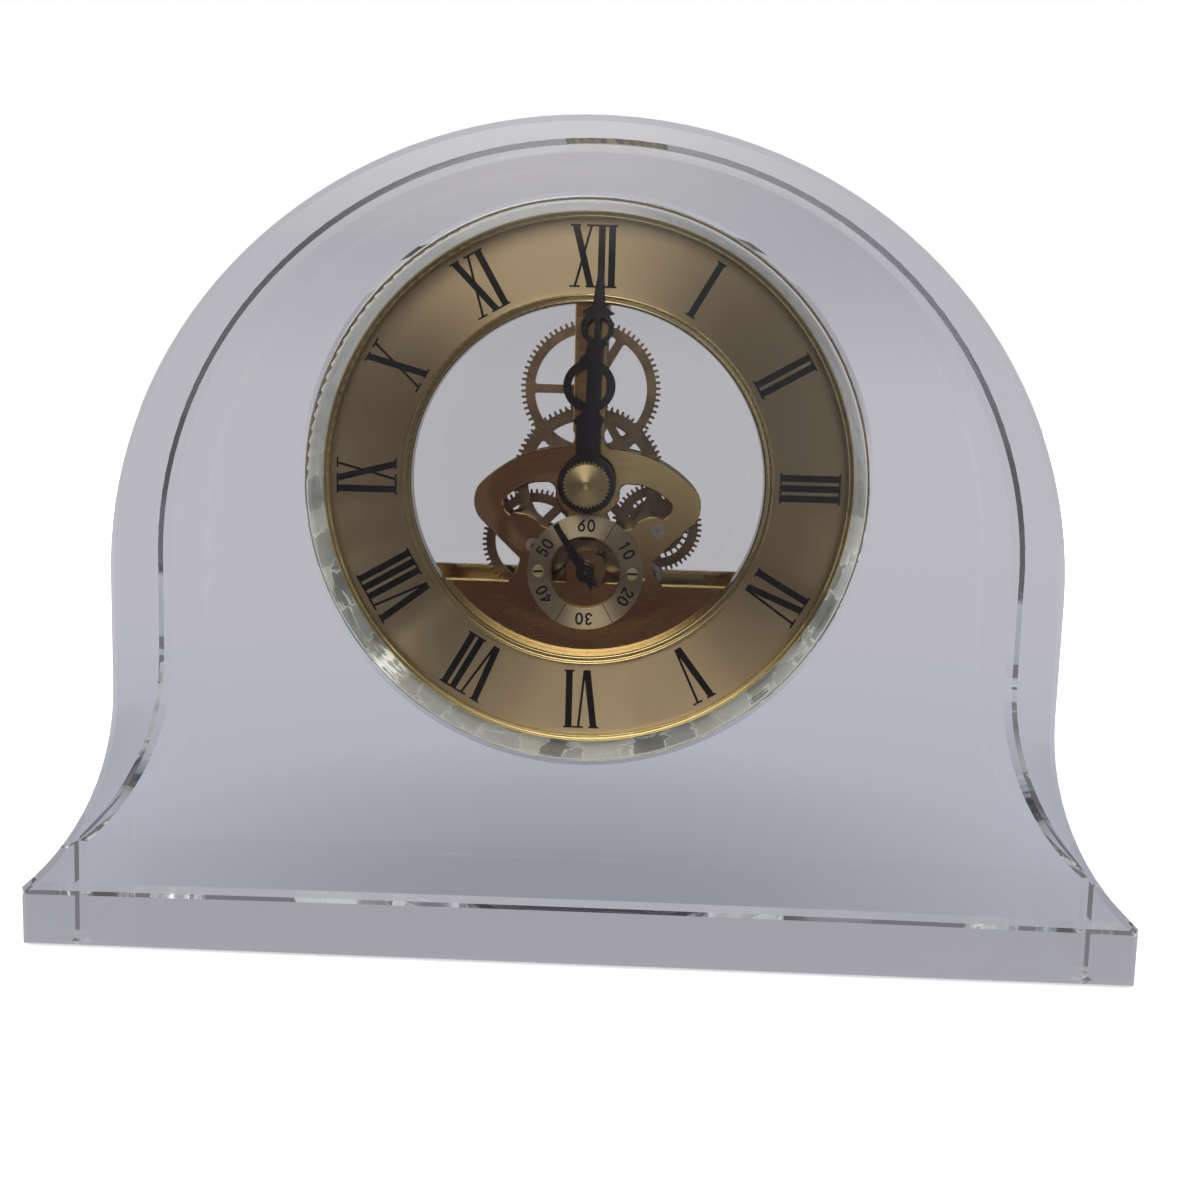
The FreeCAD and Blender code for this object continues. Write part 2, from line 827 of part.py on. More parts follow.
def pivot_bushes():
    """Pale bushes of the two side wheels in the front plate."""
    return Part.makeCompound([
        ring(bush_radius, pivot_hole, plate_setback - bush_proud, plate_back, axis) for axis in bushed_axes])


def rear_pivot_bushes():
    return Part.makeCompound([
        ring(bush_radius, pivot_hole, rear_plate_front, rear_plate_back + bush_proud, axis)
        for axis in bushed_axes])


def centre_tube():
    """Fixed bush in the front plate that the hour pipe turns in."""
    return ring(tube_outer, tube_inner, plate_setback - tube_proud, plate_back)


def subdial_ring():
    band = ring(ring_radius, ring_hole_radius, ring_front, ring_front + ring_thickness, seconds_axis)
    for place in ring_screw_places():
        band = band.cut(disc(screw_shank_radius + pivot_play, ring_front - over,
                             ring_front + ring_thickness + over, place))
    return band


def subdial_posts():
    """Short posts that hold the seconds dial off the plate."""
    return Part.makeCompound([
        ring(ring_post_radius, screw_shank_radius + pivot_play, ring_front + ring_thickness,
             plate_setback, place)
        for place in ring_screw_places()])


def subdial_screws():
    length = ring_thickness + ring_stand + plate_thickness
    return Part.makeCompound([
        slotted_screw(place, ring_front, -1, ring_screw_radius, ring_screw_height, length)
        for place in ring_screw_places()])


ring_front = plate_setback - ring_stand - ring_thickness


def ribbon(points, width, front, back, centre):
    """Flat stroke along a line of places, with round ends and joints."""
    parts = []
    for start, end in zip(points, points[1:]):
        span = gap(start, end)
        ux = (end[0] - start[0]) / span * width / 2
        uz = (end[1] - start[1]) / span * width / 2
        parts.append(slab([(start[0] - uz, start[1] + ux), (end[0] - uz, end[1] + ux),
                           (end[0] + uz, end[1] - ux), (start[0] + uz, start[1] - ux)], front, back, centre))
    for place in points:
        parts.append(disc(width / 2, front, back, (centre[0] + place[0], centre[1] + place[1])))
    return fuse(*parts)


def oval(x, z, rx, rz, start, end, count):
    """Places along an oval arc, in shares of a figure's width and height."""
    turns = [start + (end - start) * step / count for step in range(count + 1)]
    return [(x + rx * math.cos(math.radians(turn)), z + rz * math.sin(math.radians(turn))) for turn in turns]


# Spines of the figures, as shares of their width and height about their middle
figure_shares = {
    "0": oval(0, 0, 0.42, 0.44, 0, 360, 16),
    "1": [(-0.22, 0.30), (0.04, 0.44), (0.04, -0.44)],
    "2": oval(0, 0.22, 0.36, 0.22, 170, -30, 7) + [(-0.38, -0.44), (0.40, -0.44)],
    "3": oval(0, 0.23, 0.33, 0.21, 160, -90, 8) + oval(0, -0.21, 0.38, 0.23, 90, -160, 8),
    "4": [(0.40, -0.18), (-0.42, -0.18), (0.16, 0.44), (0.16, -0.44)],
    "5": [(0.36, 0.44), (-0.26, 0.44), (-0.32, 0.02)] + oval(0, -0.14, 0.38, 0.30, 130, -150, 9),
    "6": [(0.30, 0.42)] + oval(0, -0.16, 0.38, 0.28, 145, 505, 12),
}


SECONDS = ("60", "10", "20", "30", "40", "50")


def subdial_numerals():
    """Printed figures in tens, with a thin line between each pair."""
    face = ring_front
    middle = (ring_radius + ring_hole_radius) / 2
    printed = []
    for count, word in enumerate(SECONDS):
        turn = FULL_TURN / len(SECONDS) * count
        for side, figure in zip((-1, 1), word):
            spot = (side * (figure_width + figure_gap) / 2, middle - seconds_drop)
            spine = [(x * figure_width, z * figure_height) for x, z in figure_shares[figure]]
            mark = ribbon(spine, figure_stroke, face - print_height, face, spot)
            printed.append(rotate(mark, turn, seconds_axis))
    for turn in separator_turns:
        line = bar(-separator_width / 2, separator_width / 2, ring_hole_radius - seconds_drop + print_height,
                   ring_radius - seconds_drop - print_height, face - print_height, face)
        printed.append(rotate(line, turn, seconds_axis))
    return Part.makeCompound(printed)


separator_turns = (30.0, 150.0, 210.0, 330.0)


def arbor(centre, front, back):
    """Turned shaft between the plates, with a thin pivot in each plate."""
    pivots = disc(pivot_radius, front - plate_thickness, back + plate_thickness, centre)
    return fuse(disc(arbor_radius, front + end_play, back - end_play, centre), pivots)


def leaves(gear, count):
    """Pinion that stands a little proud of the wheel that it meets, on both sides."""
    front = plane(count) - pinion_overlap
    return gear.toothed(front, front + wheel_thickness + 2 * pinion_overlap)


def collar(radius, count, centre):
    front = plane(count)
    return disc(radius, front - pinion_overlap, front + wheel_thickness + pinion_overlap, centre)


def third_wheel():
    """Left wheel, with the pinion that drives the centre wheel."""
    return fuse(third_gear.wheel(plane(THIRD_PLANE), side_wheel_spokes, third_spoke_turn),
                collar(wheel_hub, THIRD_PLANE, third_axis), leaves(third_leaves, CENTRE_PLANE),
                arbor(third_axis, plate_back, rear_plate_front))


def intermediate_wheel():
    """Right wheel, which the rotor drives, with the pinion that drives the seconds wheel."""
    return fuse(intermediate_gear.wheel(plane(THIRD_PLANE), side_wheel_spokes, intermediate_spoke_turn),
                leaves(intermediate_leaves, SECONDS_PLANE),
                collar(wheel_hub, THIRD_PLANE, intermediate_axis),
                arbor(intermediate_axis, plate_back, rear_plate_front))


def minute_wheel():
    """Top wheel of the motion work, with the pinion that drives the hour wheel."""
    return fuse(minute_gear.wheel(plane(MINUTE_PLANE), side_wheel_spokes, minute_spoke_turn),
                leaves(minute_leaves, HOUR_PLANE),
                collar(minute_leaves.pitch_radius, MINUTE_PLANE, top_axis),
                arbor(top_axis, plate_back, rear_plate_front))


def seconds_wheel():
    """Seconds arbor: a long front pivot for the hand, a wheel and the pinion that drives the third wheel."""
    tip = seconds_hand_front - seconds_tip_proud
    shaft = disc(pivot_radius, tip, plate_back, seconds_axis)
    return fuse(seconds_gear.wheel(plane(SECONDS_PLANE), side_wheel_spokes, seconds_spoke_turn),
                leaves(seconds_leaves, THIRD_PLANE), collar(wheel_hub, SECONDS_PLANE, seconds_axis),
                arbor(seconds_axis, plate_back, rear_plate_front), shaft)


def centre_wheel():
    """Centre arbor and its wheel; the cannon pinion is pressed on in front, the knob behind."""
    wheel = centre_gear.wheel(plane(CENTRE_PLANE), middle_wheel_spokes, middle_spoke_turn)
    shaft = disc(cannon_bore - pivot_play, cannon_tip + nut_height / 2, rear_plate_back + knob_shaft_length)
    return fuse(wheel, collar(wheel_hub, CENTRE_PLANE, hand_axis), shaft)


cannon_bore = cannon_pipe_radius - cannon_wall
minute_hand_back = minute_hand_setback + hand_thickness
cannon_tip = minute_hand_setback - nut_height * nut_thread_share
seconds_hand_front = ring_front - seconds_hand_stand


def cannon_pinion():
    """Pipe pressed on the centre arbor; its leaves drive the minute wheel, its tip carries the hand."""
    pinion = leaves(cannon_gear, MINUTE_PLANE)
    pipe = disc(cannon_pipe_radius, cannon_tip, plane(MINUTE_PLANE))
    bore = disc(cannon_bore, cannon_tip - over, plane(CENTRE_PLANE))
    return fuse(pinion, pipe).cut(bore)


def hour_wheel():
    """Wheel and pipe that carry the hour hand; the pipe turns between the cannon's pipe and the tube."""
    inner = cannon_pipe_radius + pipe_play
    outer = inner + hour_pipe_wall
    front = plane(HOUR_PLANE)
    back = front + wheel_thickness
    wheel = hour_gear.wheel(front, middle_wheel_spokes, middle_spoke_turn)
    pipe = disc(outer, hour_hand_setback, back)
    bore = disc(inner, hour_hand_setback - over, back + over)
    return fuse(wheel, disc(wheel_hub, front, back), pipe).cut(bore)


def rotor_pinion():
    return fuse(leaves(rotor_leaves, THIRD_PLANE), arbor(rotor_axis, plate_back, rear_plate_front))


magnet_front = plate_back + plane_first + plane_step / 2
stator_front = magnet_front + (magnet_height - stator_thickness) / 2


def rotor_magnet():
    """Ring magnet pressed on the rotor's arbor."""
    return ring(magnet_radius, arbor_radius, magnet_front, magnet_front + magnet_height, rotor_axis)


def hand_blade(steps, front, collars=()):
    """Flat hand: a mirrored outline, pierced rings along the stem, and a round hub with its hole."""
    back = front + hand_thickness
    blade = plate(steps + mirrored(steps)[1:], front, back)
    web = hand_web_width / 2
    for reach, outer, inner in collars:
        blade = fuse(blade, disc(outer, front, back, (0, reach)))
        stem = bar(-web, web, reach - outer, reach + outer, front - over, back + over)
        blade = blade.cut(disc(inner, front - over, back + over, (0, reach)).cut(stem))
    return fuse(blade, disc(hand_hub_radius, front, back))


# Half outlines of the hands, hub to tip, as shares of their reach
hour_blade_shares = [
    (0.08, 0.10), (0.08, 0.39), (0.108, 0.42), (0.05, 0.48), (0.04, 0.60), (0.04, 0.72), (0.075, 0.83),
    (0.035, 0.87), (0.0, 1.0),
]
minute_blade_shares = [
    (0.03, 0.08), (0.03, 0.60), (0.026, 0.66), (0.024, 0.735), (0.075, 0.755), (0.027, 0.785), (0.019, 0.88),
    (0.0, 1.0),
]


def hour_hand():
    """Black hour hand with a pointed shoulder, a pierced ring and a spear tip."""
    steps = share(hour_blade_shares, hour_hand_reach)
    ring_reach = hour_hand_reach * hour_ring_share
    blade = hand_blade(steps, hour_hand_setback, [(ring_reach, hand_ring_radius, hand_ring_hole)])
    return blade.cut(disc(cannon_pipe_radius + pipe_play + hour_pipe_wall, hour_hand_setback - over,
                          hour_hand_setback + hand_thickness + over))


def minute_hand():
    """Black minute hand with a small pierced ring below its tip, a little past the hour."""
    steps = share(minute_blade_shares, minute_hand_reach)
    ring_reach = minute_hand_reach * minute_ring_share
    blade = hand_blade(steps, minute_hand_setback,
                       [(ring_reach, hand_ring_radius * minute_ring_size_share,
                         hand_ring_hole * minute_ring_size_share)])
    blade = blade.cut(disc(cannon_pipe_radius, minute_hand_setback - over, minute_hand_back + over))
    return rotate(blade, minute_hand_turn)


def seconds_hand():
    """Short wedge with a forked tail, pressed on the long front pivot."""
    front = seconds_hand_front
    back = front + hand_thickness
    tip = seconds_tip_width / 2
    root = seconds_hub_radius * seconds_root_share
    tail = seconds_tail_reach
    blade = slab([(-root, 0), (root, 0), (tip, seconds_hand_reach), (-tip, seconds_hand_reach)], front, back,
                 seconds_axis)
    fork = slab([(-tip, 0), (-root, -tail), (0, -tail * fork_share), (root, -tail), (tip, 0)], front, back,
                seconds_axis)
    whole = fuse(blade, fork, disc(seconds_hub_radius, front, back, seconds_axis))
    whole = whole.cut(disc(pivot_radius, front - over, back + over, seconds_axis))
    return rotate(whole, seconds_hand_turn, seconds_axis)


def hand_nut():
    """Knurled nut with a coned face, screwed on the cannon's tip."""
    front = minute_hand_setback - nut_height
    steps = []
    for count in range(nut_teeth):
        turn = FULL_TURN / nut_teeth * count
        steps.append(polar(nut_radius - nut_tooth_depth, turn - FULL_TURN / nut_teeth / 2))
        steps.append(polar(nut_radius, turn))
    body = slab(steps, front, minute_hand_setback)
    rim = front + nut_height * (1 - nut_cone_share)
    cone = turned([(0, front - over), (nut_radius + over, front - over), (nut_radius + over, rim),
                   (nut_radius * nut_crown_share, front), (0, front)])
    bore = disc(cannon_pipe_radius, cannon_tip, minute_hand_setback + over)
    return body.cut(cone).cut(bore)


arm_top = -segment_drop - stator_play
coil_top = arm_top - stator_band - coil_lift
coil_foot = coil_top - coil_length
core_half = coil_core_width / 2


def stator():
    """Flat iron plate: a ring round the magnet and two arms that reach the ends of the coil's core."""
    front = stator_front
    back = front + stator_thickness
    x, z = rotor_axis
    inner = magnet_radius + stator_play
    outer = inner + stator_band
    band = stator_band
    limb = coil_side - coil_radius - stator_play - band
    low_top = z - inner - band / 2
    upper = bar(x, coil_side + core_half, arm_top - band, arm_top, front, back)
    drop = bar(coil_side - core_half, coil_side + core_half, coil_top, arm_top - band, front, back)
    lower = bar(x, limb + band, low_top - band, low_top, front, back)
    side = bar(limb, limb + band, coil_foot - band, low_top - band, front, back)
    foot = bar(limb, coil_side + core_half, coil_foot - band, coil_foot, front, back)
    bore = disc(inner, front - over, back + over, rotor_axis)
    return fuse(disc(outer, front, back, rotor_axis), upper, drop, lower, side, foot).cut(bore)


def coil_core():
    return bar(coil_side - core_half, coil_side + core_half, coil_foot, coil_top, stator_front,
               stator_front + stator_thickness)


def along_coil(radius, low, high):
    """Cylinder upright about the coil's own axis."""
    middle = stator_front + stator_thickness / 2
    return Part.makeCylinder(radius, high - low, at(coil_side, middle, low), Vec(0, 0, 1))


def coil_bobbin():
    """Moulded former with a flange at each end and a slot for the core."""
    tube_radius = core_half * math.sqrt(2) + bobbin_wall
    tube = along_coil(tube_radius, coil_foot, coil_top)
    low = along_coil(coil_radius, coil_foot, coil_foot + bobbin_flange)
    high = along_coil(coil_radius, coil_top - bobbin_flange, coil_top)
    slot = bar(coil_side - core_half - pivot_play, coil_side + core_half + pivot_play, coil_foot - over,
               coil_top + over, stator_front - pivot_play, stator_front + stator_thickness + pivot_play)
    return fuse(tube, low, high).cut(slot)


def coil_winding():
    tube_radius = core_half * math.sqrt(2) + bobbin_wall
    low = coil_foot + bobbin_flange
    high = coil_top - bobbin_flange
    turns = along_coil(coil_radius - bobbin_wall, low, high)
    return turns.cut(along_coil(tube_radius, low - over, high + over))


board_front = rear_plate_front
tray_drop = seconds_drop + seconds_gear.tip_radius + tray_play
tray_radius = dial_radius - spacer_wall - tray_play
tray_inner = tray_radius - tray_wall
cell_drop = tray_drop + tray_wall + cell_play + cell_radius
cell_front = plate_back + seat_clearance + tray_floor + cell_play
cell_middle = cell_front + cell_radius
cell_left = -cell_length / 2
cell_right = cell_length / 2
bay_left = cell_left - contact_gap
bay_right = cell_right + contact_gap
bay_top = -tray_drop - tray_wall
bay_foot = -cell_drop - cell_radius - cell_play
board_drop = tray_drop + tray_wall + cell_play + board_height / 2
board_posts = [(board_side + post_spread, -board_drop + post_spread),
               (board_side, -board_drop - post_spread)]


def circuit_board():
    """Small board on two posts of the tray, trimmed to the tray's curve."""
    back = board_front + board_thickness
    blank = bar(board_side - board_width / 2, board_side + board_width / 2, -board_drop - board_height / 2,
                -board_drop + board_height / 2, board_front, back)
    return blank.common(disc(tray_inner - cell_play, board_front, back))


def control_chip():
    back = board_front + board_thickness
    half = chip_size / 2
    return bar(board_side - half, board_side + half, -board_drop - half, -board_drop + half, back,
               back + chip_height)


def quartz_can():
    """Small steel can that lies on the board above the chip."""
    start = at(board_side - can_length / 2, board_front + board_thickness + can_radius,
               -board_drop + chip_size / 2 + can_radius + cell_play)
    return Part.makeCylinder(can_radius, can_length, start, Vec(1, 0, 0))


def movement_tray():
    """Black moulded tray behind the segment, with a bay for the cell and one for the coil and the board."""
    front = plate_back + seat_clearance
    back = cover_front - seat_clearance
    floor = front + tray_floor
    chord = math.sqrt(tray_radius ** 2 - tray_drop ** 2)
    outer = plate([(-chord, -tray_drop), (chord, -tray_drop), ((0, -tray_radius), (-chord, -tray_drop))],
                  front, back)
    inner_half = math.sqrt(tray_inner ** 2 - bay_top ** 2)
    hollow = plate([(-inner_half, bay_top), (inner_half, bay_top),
                    ((0, -tray_inner), (-inner_half, bay_top))], floor, back + over)
    bay = bar(bay_left, bay_right, bay_foot, bay_top, floor, back + over)
    shell = outer.cut(hollow).cut(bay)
    ends = [bar(bay_left - tray_wall, bay_left, -tray_inner, bay_top, front, back),
            bar(bay_right, bay_right + tray_wall, -tray_inner, bay_top, front, back),
            bar(bay_left, bay_right, bay_foot - tray_wall, bay_foot, front, back)]
    walls = [wall.common(outer) for wall in ends]
    posts = [disc(post_radius, front, board_front, place) for place in board_posts]
    shell = fuse(shell, *walls, *posts)
    for place in pillar_places():
        shell = shell.cut(disc(rear_foot_margin + tray_play, front - over, back + over, place))
    coil_bay = bar(bay_right + tray_wall + seat_clearance, coil_side + coil_radius + stator_play,
                   coil_foot - stator_band - stator_play, -tray_drop + over, front - over,
                   stator_front + stator_thickness + coil_radius)
    return shell.cut(coil_bay)


def dry_cell():
    """Small round cell on its side, with its cap to the right."""
    body_length = cell_length - cell_cap_height
    start = at(cell_left, cell_middle, -cell_drop)
    can = Part.makeCylinder(cell_radius, body_length, start, Vec(1, 0, 0))
    rims = [edge for edge in can.Edges if edge.BoundBox.XLength < coincidence]
    can = can.makeFillet(cell_cap_height, rims)
    cap = Part.makeCylinder(cell_cap_radius, cell_length - body_length / 2,
                            at(cell_left + body_length / 2, cell_middle, -cell_drop), Vec(1, 0, 0))
    return fuse(can, cap)


def battery_contacts():
    """A flat strip at the cap and a sprung leaf at the base, both standing in slots of the bay."""
    half = cell_cap_radius
    low = -cell_drop - half
    high = -cell_drop + half
    front = cell_front
    back = cell_middle + cell_radius
    plus = bar(cell_right, cell_right + contact_thickness, low, high, front, back)
    plus_foot = bar(cell_right, bay_right, low, high, front, front + contact_thickness)
    minus = bar(bay_left, bay_left + contact_thickness, low, high, front, back)
    leaf = slab([(bay_left + contact_thickness, 0), (cell_left - pivot_play, half),
                 (cell_left - pivot_play, half + contact_thickness),
                 (bay_left + contact_thickness, contact_thickness)],
                cell_middle - half, cell_middle + half, (0, -cell_drop - half))
    return Part.makeCompound([fuse(plus, plus_foot), fuse(minus, leaf)])


door_left = bay_left + door_play
door_right = bay_right - door_play
door_foot = bay_foot + door_play
door_top = bay_top - door_play
door_axis_drop = -(door_foot + door_thickness / 2)
door_middle = case_back - door_thickness / 2


def lengthwise(radius, left, right):
    """Cylinder along X on the door's hinge line."""
    return Part.makeCylinder(radius, right - left, at(left, door_middle, -door_axis_drop), Vec(1, 0, 0))


def battery_door():
    """Hatch over the cell that swings down on two pins, with a ridge for a fingernail."""
    front = case_back - door_thickness
    panel = bar(door_left, door_right, -door_axis_drop, door_top, front, case_back)
    barrel = lengthwise(door_thickness / 2, door_left, door_right)
    pins = lengthwise(door_pin_radius, door_left - door_pin_length, door_right + door_pin_length)
    middle = (door_left + door_right) / 2
    ridge = bar(middle - door_ridge_length / 2, middle + door_ridge_length / 2, door_top - 2 * door_ridge,
                door_top - door_ridge, case_back - over / 2, case_back + door_ridge)
    return fuse(panel, barrel, pins, ridge)


def cover_screw_places():
    reach = dial_radius - spacer_wall / 2
    step = FULL_TURN / cover_screw_count
    return [polar(reach, step / 2 + step * count) for count in range(cover_screw_count)]


def back_cover():
    """Clear disc that closes the case, with a hole for the knob's stem and an opening for the hatch."""
    blank = disc(dial_radius, cover_front, case_back)
    blank = blank.cut(disc(knob_stem_radius + stem_play, cover_front - over, case_back + over))
    blank = blank.cut(bar(bay_left, bay_right, bay_foot, bay_top, cover_front - over, case_back + over))
    blank = blank.cut(lengthwise(door_pin_radius + pivot_play, bay_left - door_pin_length,
                                 bay_right + door_pin_length))
    for place in cover_screw_places():
        blank = blank.cut(disc(cover_screw_radius + pivot_play, cover_front - over, case_back + over, place))
    return blank


def cover_screws():
    screws = []
    for place in cover_screw_places():
        top = case_back + cover_head_height
        head = disc(cover_head_radius, case_back, top, place)
        shank = disc(cover_screw_radius, case_back - cover_screw_length, case_back, place)
        half = screw_slot_width / 2
        reach = cover_head_radius + over
        slot = bar(-reach, reach, -half, half, top - screw_slot_depth, top + over)
        slot.translate(Vec(place[0], 0, place[1]))
        screws.append(fuse(head, shank).cut(slot))
    return Part.makeCompound(screws)


def setting_knob():
    """Fluted knob on the centre arbor, behind the cover; turning it sets the hands."""
    front = case_back + stem_play
    steps = []
    for count in range(knob_grips):
        turn = FULL_TURN / knob_grips * count
        half = FULL_TURN / knob_grips / 4
        steps.append(polar(knob_radius, turn - half))
        steps.append(polar(knob_radius, turn + half))
        steps.append(polar(knob_radius - knob_grip_depth, turn + half * 2))
    head = slab(steps, front, front + knob_height)
    stem = disc(knob_stem_radius, rear_plate_back + end_play + stem_play, front)
    bore = disc(cannon_bore, rear_plate_back, rear_plate_back + knob_shaft_length + end_play)
    return fuse(head, stem).cut(bore)


NODES = (
    crystal_block, adhesive_ring, clear_case, outer_trim_ring, dial_ring, dial_numerals, inner_trim_ring,
    spacer_ring, front_plate, rear_plate, plate_pillars, plate_screws, pivot_bushes, rear_pivot_bushes,
    centre_tube, subdial_ring, subdial_posts, subdial_screws, subdial_numerals, centre_wheel, cannon_pinion,
    hour_wheel, minute_wheel, third_wheel, seconds_wheel, intermediate_wheel, rotor_pinion, rotor_magnet,
    stator, coil_core, coil_bobbin, coil_winding, circuit_board, control_chip, quartz_can, movement_tray,
    dry_cell, battery_contacts, battery_door, back_cover, cover_screws, setting_knob, hour_hand, minute_hand,
    seconds_hand, hand_nut,
)

os.makedirs("parts", exist_ok=True)
for node in NODES:
    shape = node()
    shape.exportStep("parts/" + node.__name__ + ".step")
    print(node.__name__, len(shape.Solids), "solids", round(shape.Volume, 1), shape.isValid())
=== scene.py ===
"""Crystal mantel clock: materials, adhesive, hand nut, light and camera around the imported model.

Metres, in the model's frame: X to the right, Y from the dial towards the back, Z up.
"""
import math

import bpy
from mathutils import Matrix, Vector


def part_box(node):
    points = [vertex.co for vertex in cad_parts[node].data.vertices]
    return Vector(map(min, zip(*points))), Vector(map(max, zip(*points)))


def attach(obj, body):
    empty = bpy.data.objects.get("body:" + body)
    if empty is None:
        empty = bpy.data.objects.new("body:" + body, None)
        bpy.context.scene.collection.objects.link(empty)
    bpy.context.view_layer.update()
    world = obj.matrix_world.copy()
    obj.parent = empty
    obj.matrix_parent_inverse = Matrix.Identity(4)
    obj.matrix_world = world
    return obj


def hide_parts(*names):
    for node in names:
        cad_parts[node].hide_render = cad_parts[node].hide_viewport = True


MM = 0.001
WHITE = (1.0, 1.0, 1.0)
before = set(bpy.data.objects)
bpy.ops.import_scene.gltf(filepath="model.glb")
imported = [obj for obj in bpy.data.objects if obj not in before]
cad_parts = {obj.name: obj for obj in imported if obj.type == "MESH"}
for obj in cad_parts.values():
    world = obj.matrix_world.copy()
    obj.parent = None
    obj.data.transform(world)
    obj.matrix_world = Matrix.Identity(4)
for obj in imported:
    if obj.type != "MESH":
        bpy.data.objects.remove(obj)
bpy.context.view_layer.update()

scene = bpy.context.scene
scene.view_settings.view_transform = "Standard"

# Places that the frame gives
case_low, case_high = (Vector(corner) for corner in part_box("clear_case"))
dial_low, dial_high = (Vector(corner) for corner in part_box("dial_ring"))
block_low, block_high = (Vector(corner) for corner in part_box("crystal_block"))
dial_centre = Vector(((dial_low.x + dial_high.x) / 2, dial_low.y, (dial_low.z + dial_high.z) / 2))
glue_low, glue_high = (Vector(corner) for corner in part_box("adhesive_ring"))

# Case: its wall, which the glue wets behind the window
wall_inside = (dial_high.x - dial_low.x) / 2 + 0.05 * MM
window_thickness = 2.25 * MM
wall_fade = 0.93
plastic_tint = (0.93, 0.93, 0.93)
plastic_index = 1.49

# Crystal: where rays turned inside it more often than this, it glows one dark grey, a painted glow that
# stands in for light
crystal_index = 1.52
deep_turns = 3.5
painted_deep_glow = (0.09, 0.09, 0.095)

# Glue sleeve, with a painted glow over facets and cracks, a painted glint and a painted sheen at its rim
glue_start = 0.6 * MM
contact_overlap = 0.05 * MM
glue_turns = 240
glue_rows = 12
glue_index = 1.45
glue_solid = 0.35
crack_scale = 180.0
crack_stretch = 0.4
crack_wobble = 0.002
crack_white = (0.98, 1.0, 0.97)
crack_glow = 0.26
facet_glow = 0.13
least_glow = 0.02
facet_tilt = 0.5 * MM
# Painted glint on the glue: its place, size and glow
glint_place = (-33.0 * MM, -32.0 * MM)
glint_reach = 4.6 * MM
glint_glow = 0.65
# Painted sheen along the glue's outer rim: its width, side and glow
sheen_width = 0.3 * MM
sheen_toward = (-0.5, 0.87)
sheen_glow = 0.6

# Small brass parts
# Depth below the screw heads' top face where their painted shade starts
slot_shade_start = 0.06 * MM
inner_trim_width = 1.6 * MM
dark_bore_depth = 0.12 * MM
satin_roughness = 0.42

# Hand nut: shares of its radius and of its depth, from the dimple out to the back
nut_teeth = 36
nut_steps = 6
nut_notch = 0.40 * MM
nut_knurl_from = 0.9
nut_profile = [(0.06, 0.12), (0.16, 0.0), (0.5, 0.17), (0.86, 0.36), (0.93, 0.42), (1.0, 0.52), (1.0, 0.94),
               (0.95, 1.0)]

# Camera, at the place that the photograph was taken from
camera_place = Vector((6.5, -219.1, 98.5)) * MM
camera_aim = Vector((1.9, -19.5, 73.8)) * MM
camera_roll = math.radians(1.63)
camera_lens = 37.13
camera_sensor = 36.0
camera_shift = (0.0029, -0.0521)
camera_near = 5 * MM
camera_far = 20.0

# Greys seen through glass: far off, higher up, higher up at the right, and on the floor, where near the
# block they are darkened as a painted shadow
see_far = (0.565, 0.56, 0.59)
see_high = (0.42, 0.41, 0.44)
see_right = (0.40, 0.40, 0.44)
floor_shadow_grey = (0.33, 0.34, 0.38)
floor_shadow_edge_grey = (0.52, 0.54, 0.60)

# Room as mirrors show it, and the plain light for everything else
plain_light = 0.8
dim_left = (0.04, 0.038, 0.036)
strip_lean = 0.11
strip_light = (3.4, 3.3, 3.0)
dusk_low = (0.058, 0.036, 0.047)
dusk_left = (0.085, 0.055, 0.068)
dusk_right = (0.26, 0.27, 0.30)
inner_patches = 1.3
inner_dark = 0.10
inner_grey = 0.21
inner_pale = 0.42

# Floor
stage_half = 3.0
floor_fade = 0.6
floor_drop = 0.02 * MM
floor_colour = (0.80, 0.80, 0.81)
floor_glow = 0.25


def add_camera():
    data = bpy.data.cameras.new("camera")
    data.sensor_width = camera_sensor
    data.sensor_fit = "HORIZONTAL"
    data.lens = camera_lens
    data.shift_x, data.shift_y = camera_shift
    data.clip_start = camera_near
    data.clip_end = camera_far
    view = bpy.data.objects.new("camera", data)
    turn = (camera_aim - camera_place).to_track_quat("-Z", "Y").to_matrix()
    rolled = turn @ Matrix.Rotation(camera_roll, 3, "Z")
    view.matrix_world = Matrix.Translation(camera_place) @ rolled.to_4x4()
    bpy.context.collection.objects.link(view)
    scene.camera = view


